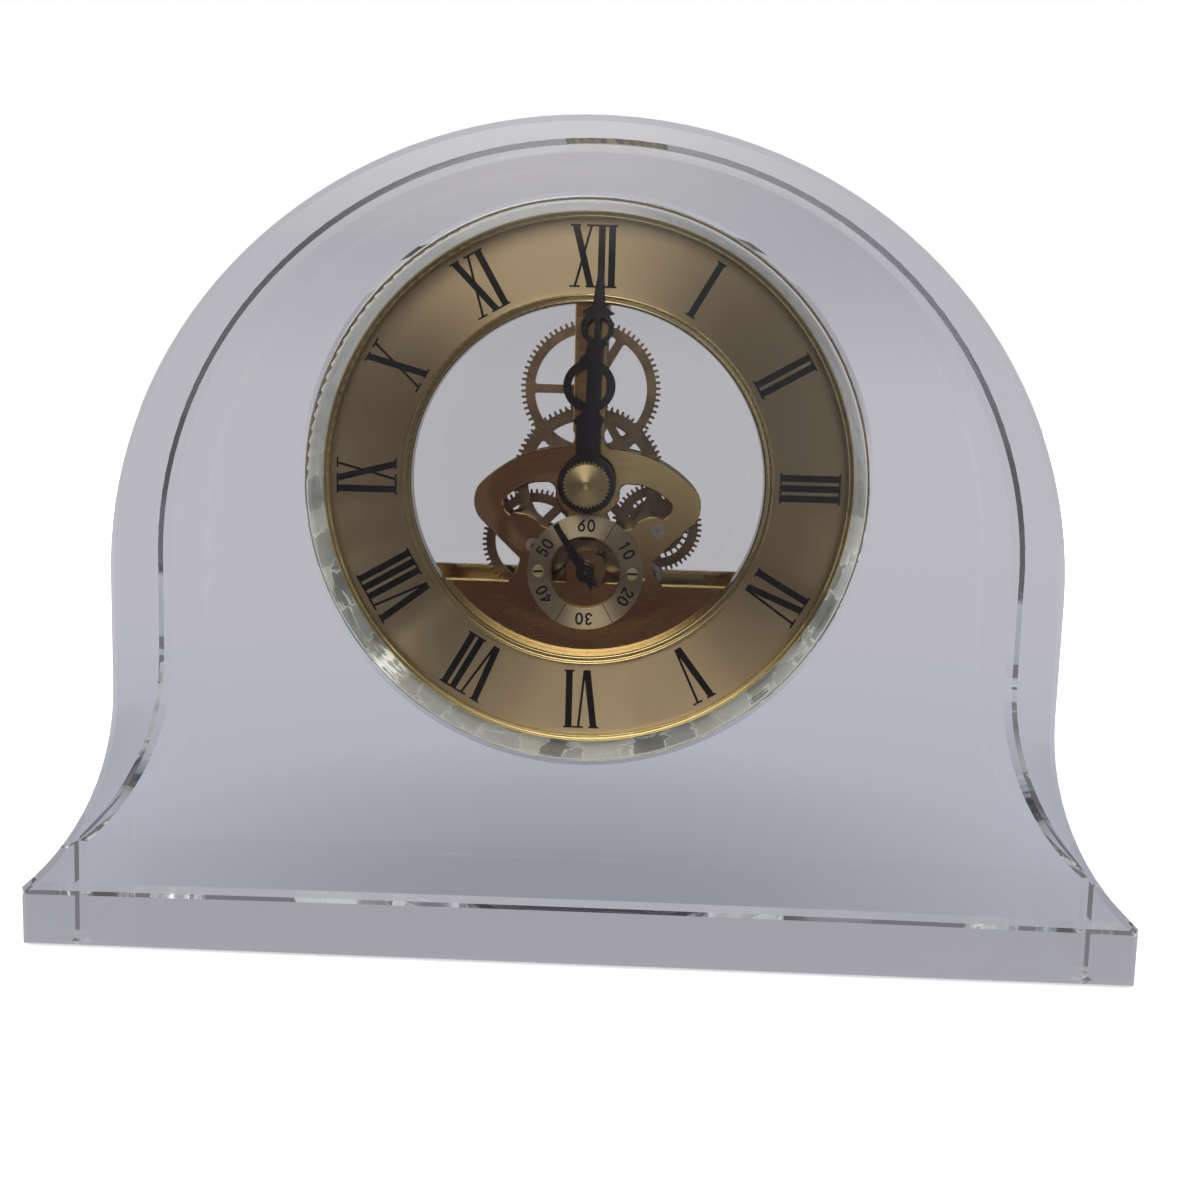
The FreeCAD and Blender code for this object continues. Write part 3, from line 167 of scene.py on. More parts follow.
class Nodes:
    """Node tree with a few short helpers."""

    def __init__(self, tree, where):
        self.tree = tree
        self.tree.nodes.clear()
        self.where = self.add("ShaderNodeTexCoord").outputs[where]

    def add(self, kind, **settings):
        made = self.tree.nodes.new(kind)
        for key, value in settings.items():
            setattr(made, key, value)
        return made

    def link(self, source, target):
        self.tree.links.new(source, target)

    def noise(self, scale, detail=3.0, roughness=0.5, vector=None, stretch=None):
        vector = vector or self.where
        if stretch:
            mapping = self.add("ShaderNodeMapping")
            mapping.inputs["Scale"].default_value = stretch
            self.link(vector, mapping.inputs["Vector"])
            vector = mapping.outputs["Vector"]
        made = self.add("ShaderNodeTexNoise")
        made.inputs["Scale"].default_value = scale
        made.inputs["Detail"].default_value = detail
        made.inputs["Roughness"].default_value = roughness
        self.link(vector, made.inputs["Vector"])
        return made.outputs["Fac"]

    def ramp(self, value, *stops):
        """Colour ramp: each stop is a place and a colour or a grey level."""
        made = self.add("ShaderNodeValToRGB")
        line = made.color_ramp
        while len(line.elements) < len(stops):
            line.elements.new(0.5)
        for element, (place, colour) in zip(line.elements, stops):
            element.position = place
            element.color = (*colour, 1.0) if hasattr(colour, "__len__") else (colour, colour, colour, 1.0)
        self.link(value, made.inputs["Fac"])
        return made.outputs["Color"]

    def mix(self, factor, a, b):
        """Colour that goes from a to b; each is a socket or a colour."""
        made = self.add("ShaderNodeMix", data_type="RGBA")
        self.link(factor, made.inputs["Factor"])
        for socket, value in ((made.inputs["A"], a), (made.inputs["B"], b)):
            if isinstance(value, tuple):
                socket.default_value = (*value, 1.0)
            else:
                self.link(value, socket)
        return made.outputs["Result"]

    def blend(self, factor, a, b):
        """Shader that goes from a to b."""
        made = self.add("ShaderNodeMixShader")
        for socket, value in zip(made.inputs, (factor, a, b)):
            self.link(value, socket)
        return made.outputs["Shader"]

    def math(self, operation, a, b=None, third=None, clamp=False):
        made = self.add("ShaderNodeMath", operation=operation, use_clamp=clamp)
        for socket, value in zip(made.inputs, (a, b, third)):
            if value is None:
                continue
            if isinstance(value, (int, float)):
                socket.default_value = value
            else:
                self.link(value, socket)
        return made.outputs["Value"]

    def times(self, a, b):
        return self.math("MULTIPLY", a, b)

    def split(self, vector=None):
        made = self.add("ShaderNodeSeparateXYZ")
        self.link(vector or self.where, made.inputs["Vector"])
        return made.outputs

    def away(self, spot, x, z):
        """Distance from a line along Y."""
        across = self.math("POWER", self.math("SUBTRACT", spot["X"], x), 2.0)
        up = self.math("POWER", self.math("SUBTRACT", spot["Z"], z), 2.0)
        return self.math("SQRT", self.math("ADD", across, up))

    def rays(self):
        """Which rays come from the camera, only went through glass, or were mirrored by a surface."""
        path = self.add("ShaderNodeLightPath").outputs
        clean = self.math("LESS_THAN", path["Diffuse Depth"], 0.5)
        mirrored = self.times(self.math("GREATER_THAN", path["Glossy Depth"], 0.5), clean)
        through = self.times(self.math("GREATER_THAN", path["Transmission Depth"], 0.5), clean)
        return path["Is Camera Ray"], self.math("SUBTRACT", through, mirrored, clamp=True), mirrored

    def turned_inside(self):
        """Rays that a block mirrored inside and that left it again: two crossings of its surface."""
        crossings = self.add("ShaderNodeLightPath").outputs["Transmission Depth"]
        return self.math("COMPARE", crossings, 2.0, third=0.5)


class Paint(Nodes):
    """Material with one main shader."""

    def __init__(self, name):
        self.material = bpy.data.materials.new(name)
        self.material.use_nodes = True
        super().__init__(self.material.node_tree, "Object")
        self.output = self.add("ShaderNodeOutputMaterial")
        self.shader = self.add("ShaderNodeBsdfPrincipled")
        self.link(self.shader.outputs["BSDF"], self.output.inputs["Surface"])

    def set(self, **values):
        """Set the shader's own sockets; an underscore stands for a space in a socket's name."""
        for key, value in values.items():
            socket = self.shader.inputs[key.replace("_", " ")]
            if hasattr(socket.default_value, "__len__") and len(value) == 3:
                value = (*value, 1.0)
            socket.default_value = value

    def to(self, source, name):
        self.link(source, self.shader.inputs[name])

    def bump(self, height, distance, strength):
        made = self.add("ShaderNodeBump")
        made.inputs["Distance"].default_value = distance
        made.inputs["Strength"].default_value = strength
        self.link(height, made.inputs["Height"])
        self.to(made.outputs["Normal"], "Normal")

    def turned(self, centre):
        """Grain laid in circles about a line along Y, so that a sheen falls in two opposite fans."""
        tangent = self.add("ShaderNodeTangent", direction_type="RADIAL", axis="Y")
        self.to(tangent.outputs["Tangent"], "Tangent")
        rings = self.add("ShaderNodeCombineXYZ")
        self.link(self.away(self.split(), centre.x, centre.z), rings.inputs["X"])
        return rings.outputs["Vector"]


def glass(name, colour, index):
    paint = Paint(name)
    paint.set(Base_Color=colour, Roughness=0.0, IOR=index, Transmission_Weight=1.0)
    return paint


def crystal():
    """Polished block, nearly clear, with a faint cool tint that deepens a little towards the foot.

    Where rays turned inside it many times, it glows one dark grey, a painted glow that stands in for light,
    so that it does not go black.
    """
    paint = glass("crystal", (0.91, 0.91, 0.93), crystal_index)
    level = paint.math("DIVIDE", paint.split()["Z"], block_high.z)
    tint = paint.ramp(level, (0.0, (0.88, 0.885, 0.92)), (0.5, (0.92, 0.92, 0.94)),
                      (1.0, (0.90, 0.895, 0.91)))
    paint.to(tint, "Base Color")
    # Painted glow: dark grey emission where rays turned inside the block many times
    depth = paint.add("ShaderNodeLightPath").outputs["Glossy Depth"]
    paint.set(Emission_Color=painted_deep_glow)
    paint.to(paint.math("GREATER_THAN", depth, deep_turns), "Emission Strength")
    return paint.material


def plastic(name):
    """Clear plastic with a faint haze."""
    paint = glass(name, plastic_tint, plastic_index)
    haze = paint.noise(900.0, 2.0)
    paint.to(paint.ramp(haze, (0.55, 0.0), (0.9, 0.04)), "Roughness")
    return paint


def case_plastic():
    """Clear plastic whose wall vanishes where the glue wets it, as two clear things in contact do."""
    paint = plastic("case_plastic")
    spot = paint.split()
    in_wall = paint.math("GREATER_THAN", paint.away(spot, dial_centre.x, dial_centre.z), wall_inside)
    behind_window = paint.math("GREATER_THAN", spot["Y"], case_low.y + window_thickness)
    wetted = paint.math("LESS_THAN", spot["Y"], glue_high.y)
    wall = paint.times(paint.times(in_wall, behind_window), wetted)
    paint.to(paint.math("SUBTRACT", 1.0, paint.times(wall, wall_fade)), "Alpha")
    return paint.material


def wiped_gold(name, colour, fine, coarse):
    """Gold with fine wipe marks, whose roughness goes from fine to coarse."""
    paint = Paint(name)
    paint.set(Base_Color=colour, Metallic=1.0)
    wipes = paint.noise(260.0, 4.0, 0.6, stretch=(1.0, 1.0, 7.0))
    paint.to(paint.ramp(wipes, (0.35, fine), (0.8, coarse)), "Roughness")
    return paint


def polished_gold():
    """Front plate: mirror gold with a faint ripple from pressing."""
    paint = wiped_gold("polished_gold", (0.84, 0.62, 0.27), 0.05, 0.13)
    paint.bump(paint.noise(60.0, 2.0), 0.02 * MM, 0.3)
    return paint.material


def dull_shaded_gold():
    """Rear plate: the same gold, less finely polished, and painted darker as shade for the plate that sits
    behind the front one.
    """
    return wiped_gold("dull_shaded_gold", (0.44, 0.35, 0.21), 0.16, 0.26).material


def trim_gold(name, inside):
    """Bright rings, dark brown in the bore (inside that radius)."""
    paint = Paint(name)
    paint.set(Metallic=1.0, Roughness=0.12)
    reach = paint.away(paint.split(), dial_centre.x, dial_centre.z)
    bright = paint.math("GREATER_THAN", reach, inside + dark_bore_depth)
    paint.to(paint.mix(bright, (0.16, 0.12, 0.07), (0.80, 0.66, 0.36)), "Base Color")
    paint.bump(paint.noise(500.0, 2.0), 0.01 * MM, 0.4)
    return paint.material


def satin_gold(name, centre, colour):
    """Satin dial with a fine grain laid in circles."""
    paint = Paint(name)
    paint.set(Base_Color=colour, Metallic=1.0, Roughness=satin_roughness, Anisotropic=1.0,
              Anisotropic_Rotation=0.25)
    grain = paint.noise(9000.0, 2.0, vector=paint.turned(centre))
    speck = paint.noise(2600.0, 3.0, 0.7)
    paint.bump(paint.math("ADD", paint.times(grain, 0.5), speck), 0.012 * MM, 0.35)
    return paint.material


def bronze():
    """Wheels: bronzed brass, darker in places, with a turned grain."""
    paint = Paint("bronze")
    paint.set(Metallic=1.0)
    cloud = paint.noise(220.0, 4.0, 0.6)
    paint.to(paint.ramp(cloud, (0.3, (0.20, 0.135, 0.085)), (0.75, (0.36, 0.255, 0.16))), "Base Color")
    paint.to(paint.ramp(paint.noise(700.0, 2.0), (0.3, 0.28), (0.8, 0.5)), "Roughness")
    paint.bump(paint.noise(3000.0, 2.0), 0.01 * MM, 0.4)
    return paint.material


def turned_brass():
    paint = Paint("turned_brass")
    paint.set(Metallic=1.0, Roughness=0.22)
    colour = paint.ramp(paint.noise(300.0), (0.3, (0.62, 0.45, 0.19)), (0.8, (0.80, 0.62, 0.30)))
    paint.to(colour, "Base Color")
    paint.bump(paint.noise(4000.0, 2.0), 0.008 * MM, 0.4)
    return paint.material


def screw_brass():
    """Bright, finely ground screw heads; below the top face, in the slot and at the rim, painted shade
    makes them dark.
    """
    paint = Paint("screw_brass")
    paint.set(Metallic=0.7, Roughness=0.4)
    face = paint.ramp(paint.noise(900.0), (0.3, (0.60, 0.49, 0.25)), (0.8, (0.76, 0.63, 0.35)))
    top = Vector(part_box("subdial_screws")[0]).y
    # Painted shade: everything deeper than the head's top face is dark
    painted_slot_shade = paint.math("GREATER_THAN", paint.split()["Y"], top + slot_shade_start)
    paint.to(paint.mix(painted_slot_shade, face, (0.06, 0.045, 0.03)), "Base Color")
    paint.bump(paint.noise(6000.0, 2.0), 0.006 * MM, 0.4)
    return paint.material


def turned_cone(centre):
    """Nut's face: turning marks in circles throw a bright fan up and down, as on a turned coin."""
    paint = Paint("turned_cone")
    paint.set(Base_Color=(0.84, 0.67, 0.36), Metallic=1.0, Roughness=0.42, Anisotropic=0.92,
              Anisotropic_Rotation=0.25)
    paint.bump(paint.noise(6000.0, 2.0, vector=paint.turned(centre)), 0.02 * MM, 0.5)
    return paint.material


def pale_bush():
    paint = Paint("pale_bush")
    paint.set(Metallic=0.35, Roughness=0.38)
    colour = paint.ramp(paint.noise(1200.0), (0.3, (0.27, 0.21, 0.20)), (0.8, (0.36, 0.29, 0.27)))
    paint.to(colour, "Base Color")
    paint.bump(paint.noise(2500.0, 2.0), 0.01 * MM, 0.3)
    return paint.material


def ink():
    """Printed black, slightly raised and a little uneven."""
    paint = Paint("ink")
    paint.set(Roughness=0.42, Specular_IOR_Level=0.3)
    colour = paint.ramp(paint.noise(1500.0), (0.3, (0.007, 0.006, 0.005)), (0.8, (0.016, 0.013, 0.011)))
    paint.to(colour, "Base Color")
    paint.bump(paint.noise(5000.0, 2.0), 0.004 * MM, 0.3)
    return paint.material


def black_gloss():
    paint = Paint("black_gloss")
    paint.set(Base_Color=(0.006, 0.006, 0.010), Coat_Weight=1.0, Coat_Roughness=0.05)
    paint.to(paint.ramp(paint.noise(800.0), (0.3, 0.16), (0.8, 0.26)), "Roughness")
    paint.bump(paint.noise(350.0, 2.0), 0.01 * MM, 0.3)
    return paint.material


def moulded(name, low, high):
    """Moulded plastic: fine leather-like grain over a slightly uneven colour."""
    paint = Paint(name)
    paint.set(Roughness=0.5)
    paint.to(paint.ramp(paint.noise(400.0), (0.3, low), (0.8, high)), "Base Color")
    paint.bump(paint.noise(3500.0, 3.0, 0.6), 0.02 * MM, 0.5)
    return paint.material


def steel():
    paint = Paint("steel")
    paint.set(Metallic=1.0)
    brushed = paint.noise(600.0, 3.0, 0.6, stretch=(1.0, 1.0, 12.0))
    paint.to(paint.ramp(brushed, (0.3, (0.42, 0.42, 0.43)), (0.8, (0.62, 0.62, 0.63))), "Base Color")
    paint.to(paint.ramp(brushed, (0.3, 0.24), (0.8, 0.42)), "Roughness")
    return paint.material


def copper_wire():
    """Fine enamelled wire, one turn over the other."""
    paint = Paint("copper_wire")
    paint.set(Base_Color=(0.62, 0.25, 0.10), Metallic=1.0, Roughness=0.28)
    turns = paint.add("ShaderNodeTexWave", bands_direction="Z")
    turns.inputs["Scale"].default_value = 1600.0
    turns.inputs["Distortion"].default_value = 0.4
    paint.link(paint.where, turns.inputs["Vector"])
    paint.bump(turns.outputs["Fac"], 0.05 * MM, 0.8)
    return paint.material


def lacquered_board():
    """Green lacquer over copper tracks."""
    paint = Paint("lacquered_board")
    paint.set(Roughness=0.3, Coat_Weight=0.6, Coat_Roughness=0.12)
    tracks = paint.add("ShaderNodeTexBrick", offset=0.5, squash=1.0)
    tracks.inputs["Scale"].default_value = 420.0
    tracks.inputs["Mortar Size"].default_value = 0.025
    tracks.inputs["Color1"].default_value = (0.012, 0.085, 0.035, 1.0)
    tracks.inputs["Color2"].default_value = (0.015, 0.105, 0.040, 1.0)
    tracks.inputs["Mortar"].default_value = (0.030, 0.17, 0.065, 1.0)
    spot = paint.split()
    flat = paint.add("ShaderNodeCombineXYZ")
    paint.link(spot["X"], flat.inputs["X"])
    paint.link(spot["Z"], flat.inputs["Y"])
    paint.link(flat.outputs["Vector"], tracks.inputs["Vector"])
    paint.to(tracks.outputs["Color"], "Base Color")
    paint.bump(tracks.outputs["Fac"], 0.03 * MM, 0.6)
    return paint.material


def cell_sleeve():
    """Silvery sleeve with one broad dark band and bare ends."""
    paint = Paint("cell_sleeve")
    paint.set(Metallic=0.7, Roughness=0.28, Coat_Weight=0.5)
    along = paint.math("DIVIDE", paint.split()["X"], case_high.x)
    place = paint.math("ADD", paint.times(along, 0.5), 0.5)
    colour = paint.ramp(place, (0.0, (0.55, 0.56, 0.58)), (0.36, (0.06, 0.10, 0.26)),
                        (0.56, (0.62, 0.50, 0.24)), (0.65, (0.60, 0.60, 0.61)))
    colour.node.color_ramp.interpolation = "CONSTANT"
    paint.to(colour, "Base Color")
    paint.bump(paint.noise(800.0), 0.01 * MM, 0.3)
    return paint.material


def crack_cells(paint):
    """Facets between the cracks, drawn out along the bore: their colour and the distance to their edge."""
    drawn = paint.add("ShaderNodeMapping")
    drawn.inputs["Scale"].default_value = (1.0, crack_stretch, 1.0)
    paint.link(paint.where, drawn.inputs["Vector"])
    wobble = paint.add("ShaderNodeTexNoise")
    wobble.inputs["Scale"].default_value = 400.0
    paint.link(paint.where, wobble.inputs["Vector"])
    shaken = paint.add("ShaderNodeMix", data_type="VECTOR")
    shaken.inputs["Factor"].default_value = crack_wobble
    paint.link(drawn.outputs["Vector"], shaken.inputs["A"])
    paint.link(wobble.outputs["Color"], shaken.inputs["B"])
    cells = {}
    for feature in ("F1", "DISTANCE_TO_EDGE"):
        cells[feature] = paint.add("ShaderNodeTexVoronoi", feature=feature)
        cells[feature].inputs["Scale"].default_value = crack_scale
        paint.link(shaken.outputs["Result"], cells[feature].inputs["Vector"])
    facet = paint.add("ShaderNodeSeparateColor")
    paint.link(cells["F1"].outputs["Color"], facet.inputs["Color"])
    return facet.outputs, cells["DISTANCE_TO_EDGE"].outputs["Distance"]


def rim_sheen(paint, spot):
    """Mask of a painted sheen: one at the glue's outer rim, on the side that sheen_toward names, and zero
    elsewhere.
    """
    reach = paint.away(spot, dial_centre.x, dial_centre.z)
    across = paint.times(paint.math("SUBTRACT", spot["X"], dial_centre.x), sheen_toward[0])
    up = paint.times(paint.math("SUBTRACT", spot["Z"], dial_centre.z), sheen_toward[1])
    aligned = paint.math("DIVIDE", paint.math("ADD", across, up), reach)
    outside = paint.math("GREATER_THAN", reach, (glue_high.x - glue_low.x) / 2 - sheen_width)
    return paint.times(paint.ramp(aligned, (0.72, 0.0), (0.9, 1.0)), outside)


def adhesive():
    """Crazed glue: pale green facets with white cracks low down, smooth and clearer towards the top.

    Facets, cracks and the rest of it glow faintly, a painted glow; a painted glint low at the left and a
    painted sheen along the upper-left rim glow brighter.
    """
    paint = Paint("adhesive")
    paint.set(Roughness=0.16, IOR=glue_index, Emission_Color=(0.95, 1.0, 0.95))
    spot = paint.split()
    height = paint.math("DIVIDE", paint.math("SUBTRACT", spot["Z"], case_low.z), case_high.z - case_low.z)
    cloud = paint.noise(150.0, 3.0, 0.6)
    wander = paint.times(paint.math("SUBTRACT", cloud, 0.5), 0.25)
    crazed = paint.ramp(paint.math("ADD", height, wander), (0.38, 1.0), (0.66, 0.0))
    facet, edge = crack_cells(paint)
    line = paint.times(paint.ramp(edge, (0.01, 1.0), (0.035, 0.0)), crazed)
    # Painted glint: a white, glowing, opaque patch low at the left of the glue
    glint = paint.away(spot, dial_centre.x + glint_place[0], dial_centre.z + glint_place[1])
    glint = paint.ramp(paint.math("DIVIDE", glint, glint_reach), (0.35, 1.0), (1.0, 0.0))
    glint = paint.times(glint, paint.ramp(paint.noise(420.0, 2.0), (0.42, 0.0), (0.5, 1.0)))

    shade = paint.ramp(facet["Red"], (0.1, (0.45, 0.49, 0.46)), (0.5, (0.74, 0.78, 0.74)),
                       (0.85, (0.98, 1.0, 0.96)))
    smooth = paint.ramp(cloud, (0.3, (0.88, 0.91, 0.89)), (0.7, (0.98, 1.0, 0.98)))
    colour = paint.mix(line, paint.mix(crazed, smooth, shade), crack_white)
    # The painted glint turns the colour white here
    paint.to(paint.mix(glint, colour, (1.0, 1.0, 0.96)), "Base Color")

    milk = paint.ramp(facet["Blue"], (0.2, 0.3), (0.8, 0.7))
    solid = paint.math("ADD", paint.times(milk, crazed), glue_solid, clamp=True)
    paint.to(paint.math("MAXIMUM", solid, paint.math("MAXIMUM", line, glint)), "Alpha")

    # Painted glow: faint emission over the crazed facets, the cracks and everywhere else on the glue
    painted_glow = paint.times(paint.ramp(facet["Red"], (0.1, 0.0), (0.9, facet_glow)), crazed)
    painted_glow = paint.math("MAXIMUM", paint.math("ADD", painted_glow, least_glow), paint.times(line, crack_glow))
    # Painted sheen along the glue's outer rim, as a glow
    painted_glow = paint.math("MAXIMUM", painted_glow, paint.times(rim_sheen(paint, spot), sheen_glow))
    paint.to(paint.math("MAXIMUM", painted_glow, paint.times(glint, glint_glow)), "Emission Strength")

    tilt = paint.math("ADD", facet["Green"], paint.times(paint.noise(120.0, 2.0), 0.5))
    paint.bump(paint.times(tilt, crazed), facet_tilt, 0.8)
    return paint.material


def add_mesh(name, points, faces, material):
    mesh = bpy.data.meshes.new(name)
    mesh.from_pydata(points, [], faces)
    mesh.materials.append(material)
    obj = bpy.data.objects.new(name, mesh)
    bpy.context.collection.objects.link(obj)
    return obj


def tube_mesh(name, inner, outer, front, back, material):
    """Closed tube about the hand axis, fine enough for its bump to lie smoothly, with crisp ends."""
    loops = [(inner, front + (back - front) * row / glue_rows) for row in range(glue_rows + 1)]
    loops += [(outer, back - (back - front) * row / glue_rows) for row in range(glue_rows + 1)]
    size = len(loops)
    points = []
    faces = []
    for count in range(glue_turns):
        turn = 2 * math.pi * count / glue_turns
        here = count * size
        there = (count + 1) % glue_turns * size
        for row, (radius, y) in enumerate(loops):
            place = (dial_centre.x + radius * math.cos(turn), y, dial_centre.z + radius * math.sin(turn))
            points.append(place)
            after = (row + 1) % size
            faces.append((here + row, here + after, there + after, there + row))
    piece = add_mesh(name, points, faces, material)
    for face in piece.data.polygons:
        face.use_smooth = True
    for edge in piece.data.edges:
        depths = [piece.data.vertices[index].co.y for index in edge.vertices]
        level = abs(depths[0] - depths[1]) < contact_overlap
        at_end = min(abs(depths[0] - front), abs(depths[0] - back)) < contact_overlap
        edge.use_edge_sharp = level and at_end
    return piece


def add_glue():
    """Glue that wets the case's wall, from the mouth of the bore to the end of its solid."""
    inner = (case_high.x - case_low.x) / 2 - contact_overlap
    outer = (glue_high.x - glue_low.x) / 2 + contact_overlap
    piece = tube_mesh("glue_sleeve", inner, outer, block_low.y + glue_start, glue_high.y, adhesive())
    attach(piece, "clock_body")
    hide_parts("adhesive_ring")


def add_nut():
    """Knurled nut whose face is a low cone with a small dimple in the middle."""
    low, high = (Vector(corner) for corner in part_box("hand_nut"))
    centre = (low + high) / 2
    radius = (high.x - low.x) / 2
    around = nut_teeth * nut_steps
    half = nut_steps // 2
    points = []
    for radius_share, depth_share in nut_profile:
        y = low.y + (high.y - low.y) * depth_share
        notch = nut_notch if radius_share > nut_knurl_from else 0.0
        for count in range(around):
            turn = 2 * math.pi * count / around
            reach = radius * radius_share - notch * abs(count % nut_steps - half) / half
            points.append((centre.x + reach * math.cos(turn), y, centre.z + reach * math.sin(turn)))
    last = (len(nut_profile) - 1) * around
    faces = [tuple(range(around))]
    for start in range(0, last, around):
        for count in range(around):
            here = start + count
            near = start + (count + 1) % around
            faces.append((here, here + around, near + around, near))
    faces.append(tuple(reversed(range(last, last + around))))
    piece = add_mesh("turned_nut", points, faces, turned_cone(centre))
    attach(piece, "minute_arbor")
    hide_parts("hand_nut")


def dress(nodes, material):
    for name in nodes:
        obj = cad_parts[name]
        for slot in obj.material_slots:
            slot.material = material
        if not obj.material_slots:
            obj.data.materials.append(material)


def dress_all():
    trim_low, trim_high = (Vector(corner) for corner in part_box("inner_trim_ring"))
    trim_inside = (trim_high.x - trim_low.x) / 2 - inner_trim_width
    ring_low, ring_high = (Vector(corner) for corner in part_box("subdial_ring"))
    ring_centre = (ring_low + ring_high) / 2
    dress(["crystal_block"], crystal())
    dress(["clear_case"], case_plastic())
    dress(["spacer_ring", "back_cover", "battery_door"], plastic("clear_plastic").material)
    dress(["front_plate"], polished_gold())
    dress(["rear_plate"], dull_shaded_gold())
    dress(["outer_trim_ring"], trim_gold("outer_trim", 0.0))
    dress(["inner_trim_ring"], trim_gold("inner_trim", trim_inside))
    dress(["dial_ring"], satin_gold("satin_dial", dial_centre, (0.80, 0.63, 0.40)))
    dress(["subdial_ring"], satin_gold("satin_ring", ring_centre, (0.82, 0.68, 0.46)))
    dress(["dial_numerals", "subdial_numerals"], ink())
    dress(["plate_pillars", "plate_screws", "centre_tube", "subdial_posts", "cannon_pinion",
           "battery_contacts", "setting_knob"], turned_brass())
    dress(["subdial_screws"], screw_brass())
    dress(["centre_wheel", "hour_wheel", "minute_wheel", "third_wheel", "seconds_wheel",
           "intermediate_wheel"], bronze())
    dress(["pivot_bushes", "rear_pivot_bushes"], pale_bush())
    dress(["hour_hand", "minute_hand", "seconds_hand"], black_gloss())
    dress(["rotor_pinion", "coil_bobbin"],
          moulded("natural_plastic", (0.62, 0.60, 0.54), (0.74, 0.72, 0.66)))
    dress(["rotor_magnet", "stator", "coil_core", "quartz_can", "cover_screws"], steel())
    dress(["coil_winding"], copper_wire())
    dress(["circuit_board"], lacquered_board())
    dress(["control_chip", "movement_tray"],
          moulded("black_plastic", (0.010, 0.010, 0.011), (0.022, 0.022, 0.024)))
    dress(["dry_cell"], cell_sleeve())


def floor_paint():
    """Pale floor: white to the camera with a soft shadow, the room's grey through glass, dim in mirrors;
    near the block that grey is darkened as a painted shadow.
    """
    paint = Paint("floor_paint")
    paint.set(Base_Color=floor_colour, Roughness=0.9, Specular_IOR_Level=0.0, Emission_Color=WHITE)
    camera, through, mirrored = paint.rays()
    length = paint.add("ShaderNodeVectorMath", operation="LENGTH")
    paint.link(paint.where, length.inputs[0])
    far = paint.math("DIVIDE", length.outputs["Value"], floor_fade)
    paint.to(paint.times(paint.ramp(far, (0.1, floor_glow), (1.0, 1.0)), camera), "Emission Strength")
    # Painted shadow: the floor's grey through glass and in mirrors darkens near the block
    grey = paint.ramp(far, (0.06, floor_shadow_grey), (0.22, floor_shadow_edge_grey), (0.5, see_far))
    behind = paint.add("ShaderNodeEmission")
    paint.link(grey, behind.inputs["Color"])
    seen = paint.blend(paint.math("MAXIMUM", through, mirrored), paint.shader.outputs["BSDF"],
                       behind.outputs["Emission"])
    before = paint.ramp(paint.times(paint.split()["Y"], -1.0), (0.03, 0.0), (0.06, 1.0))
    clear = paint.add("ShaderNodeBsdfTransparent")
    seen = paint.blend(paint.times(before, mirrored), seen, clear.outputs["BSDF"])
    paint.link(seen, paint.output.inputs["Surface"])
    return paint.material


def add_stage():
    reach = stage_half
    places = ((-reach, -reach), (reach, -reach), (reach, reach), (-reach, reach))
    floor = add_mesh("floor", [(x, y, -floor_drop) for x, y in places], [(0, 1, 2, 3)], floor_paint())


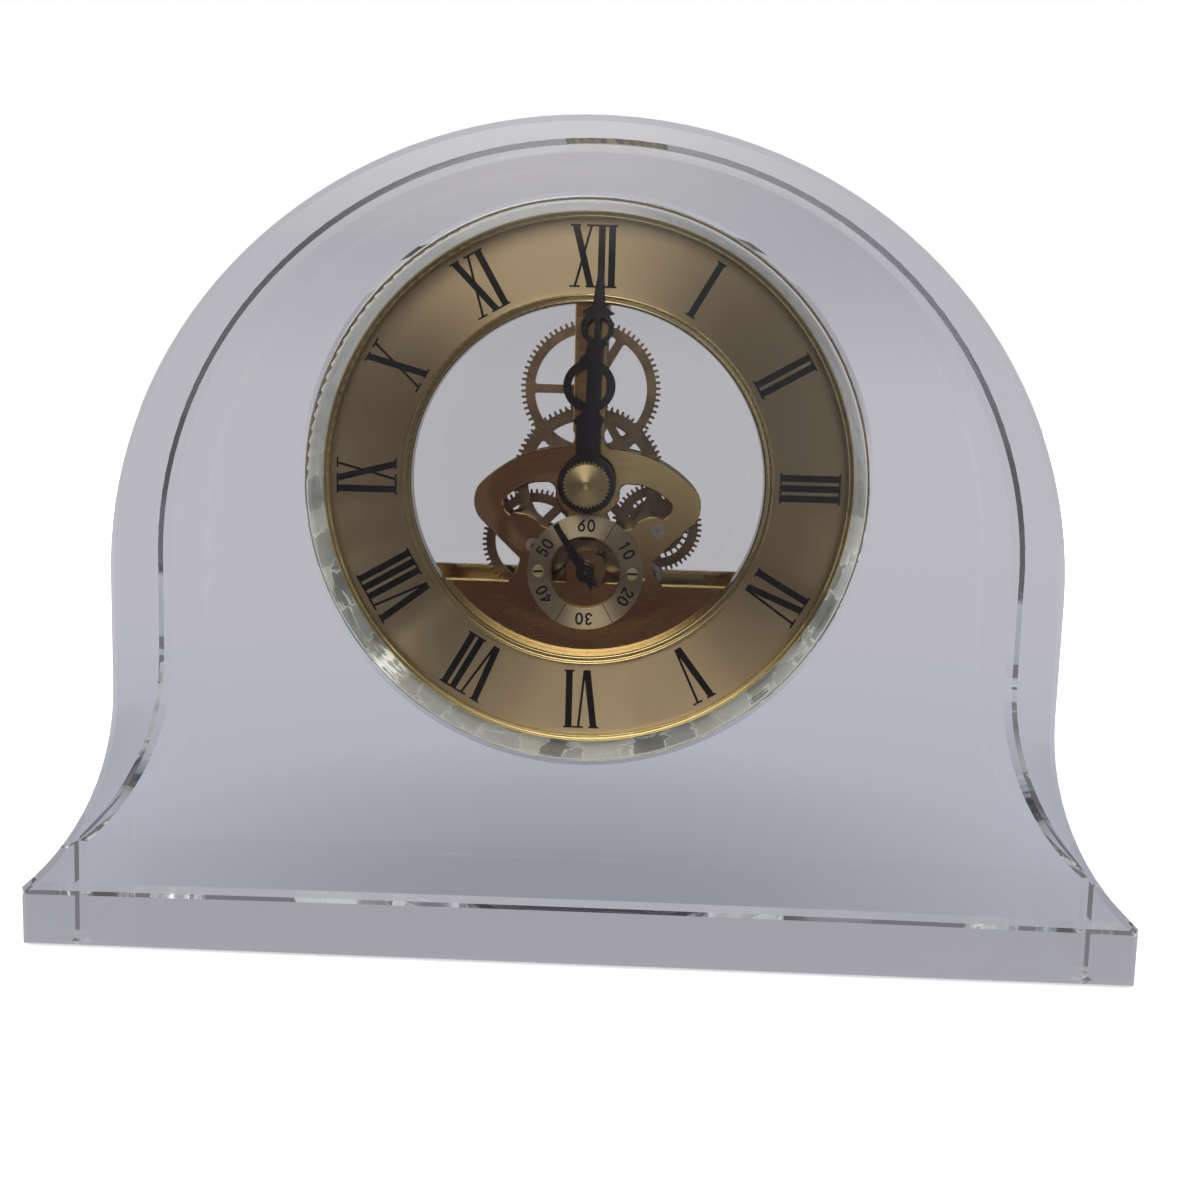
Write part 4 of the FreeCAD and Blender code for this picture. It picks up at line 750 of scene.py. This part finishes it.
def add_world():
    """White to the camera, the grey of the room through glass, and a dim room in what mirrors it."""
    world = bpy.data.worlds.new("world")
    world.use_nodes = True
    scene.world = world
    sky = Nodes(world.node_tree, "Generated")
    camera, through, mirrored = sky.rays()
    toward = sky.split()
    up = sky.math("MULTIPLY_ADD", toward["Z"], 0.5, 0.5)
    across = sky.math("MULTIPLY_ADD", toward["X"], 0.5, 0.5)
    front = sky.times(toward["Y"], -1.0)

    # Beyond the clock: pale grey, darker higher up, and most at the right
    at_right = sky.times(sky.ramp(across, (0.46, 0.0), (0.58, 0.5)), sky.ramp(up, (0.51, 0.0), (0.58, 1.0)))
    beyond = sky.mix(at_right, sky.ramp(up, (0.5, see_far), (0.6, see_high)), see_right)

    # Room before it: dim, with dusk low down that the plates mirror and one narrow strip of light
    room = sky.ramp(up, (0.0, 0.11), (0.5, 0.13), (0.6, 0.07), (0.75, 0.09), (1.0, 0.3))
    room = sky.mix(sky.ramp(across, (0.30, 1.0), (0.45, 0.0)), room, dim_left)
    side = sky.ramp(across, (0.41, 0.3), (0.435, 0.0), (0.484, 0.0), (0.498, 1.0))
    above = sky.ramp(up, (0.418, 0.0), (0.47, 1.0))
    dusk = sky.mix(above, dusk_low, sky.mix(side, dusk_left, dusk_right))
    in_front = sky.times(sky.ramp(front, (0.80, 0.0), (0.93, 1.0)), sky.ramp(up, (0.56, 1.0), (0.62, 0.0)))
    leaning = sky.math("ABSOLUTE", sky.math("ADD", toward["X"], strip_lean))
    strip = sky.times(sky.ramp(leaning, (0.10, 1.0), (0.32, 0.0)),
                      sky.ramp(up, (0.55, 0.0), (0.60, 1.0), (0.66, 1.0), (0.78, 0.15)))
    room = sky.mix(strip, sky.mix(in_front, room, dusk), strip_light)
    patches = sky.noise(inner_patches, 2.0)
    patches = sky.ramp(patches, (0.35, inner_dark), (0.5, inner_grey), (0.66, inner_pale))
    room = sky.mix(sky.turned_inside(), room, patches)
    room = sky.mix(sky.ramp(toward["Y"], (0.1, 0.0), (0.5, 1.0)), room, beyond)

    light = sky.mix(mirrored, (plain_light, plain_light, plain_light), room)
    light = sky.mix(camera, sky.mix(through, light, beyond), WHITE)
    background = sky.add("ShaderNodeBackground")
    sky.link(light, background.inputs["Color"])
    output = sky.add("ShaderNodeOutputWorld")
    sky.link(background.outputs["Background"], output.inputs["Surface"])


def add_lamp(name, place, size, power, colour):
    """Soft lamp aimed at the dial, that no mirror and no glass shows."""
    data = bpy.data.lights.new(name, "AREA")
    data.shape = "RECTANGLE"
    data.size, data.size_y = size
    data.energy = power
    data.color = colour
    lamp = bpy.data.objects.new(name, data)
    lamp.location = place
    lamp.rotation_euler = (dial_centre - Vector(place)).to_track_quat("-Z", "Y").to_euler()
    lamp.visible_glossy = False
    lamp.visible_transmission = False
    bpy.context.collection.objects.link(lamp)


def add_lamps():
    add_lamp("overhead", (0.0, -0.1, 1.0), (1.0, 0.8), 7.0, WHITE)
    add_lamp("left_window", (-0.9, -0.6, 0.6), (0.6, 0.8), 4.0, (0.96, 0.98, 1.0))
    add_lamp("right_fill", (0.9, -0.5, 0.4), (0.5, 0.7), 1.5, (1.0, 0.98, 0.95))


add_camera()
dress_all()
add_glue()
add_nut()
add_stage()
add_world()
add_lamps()
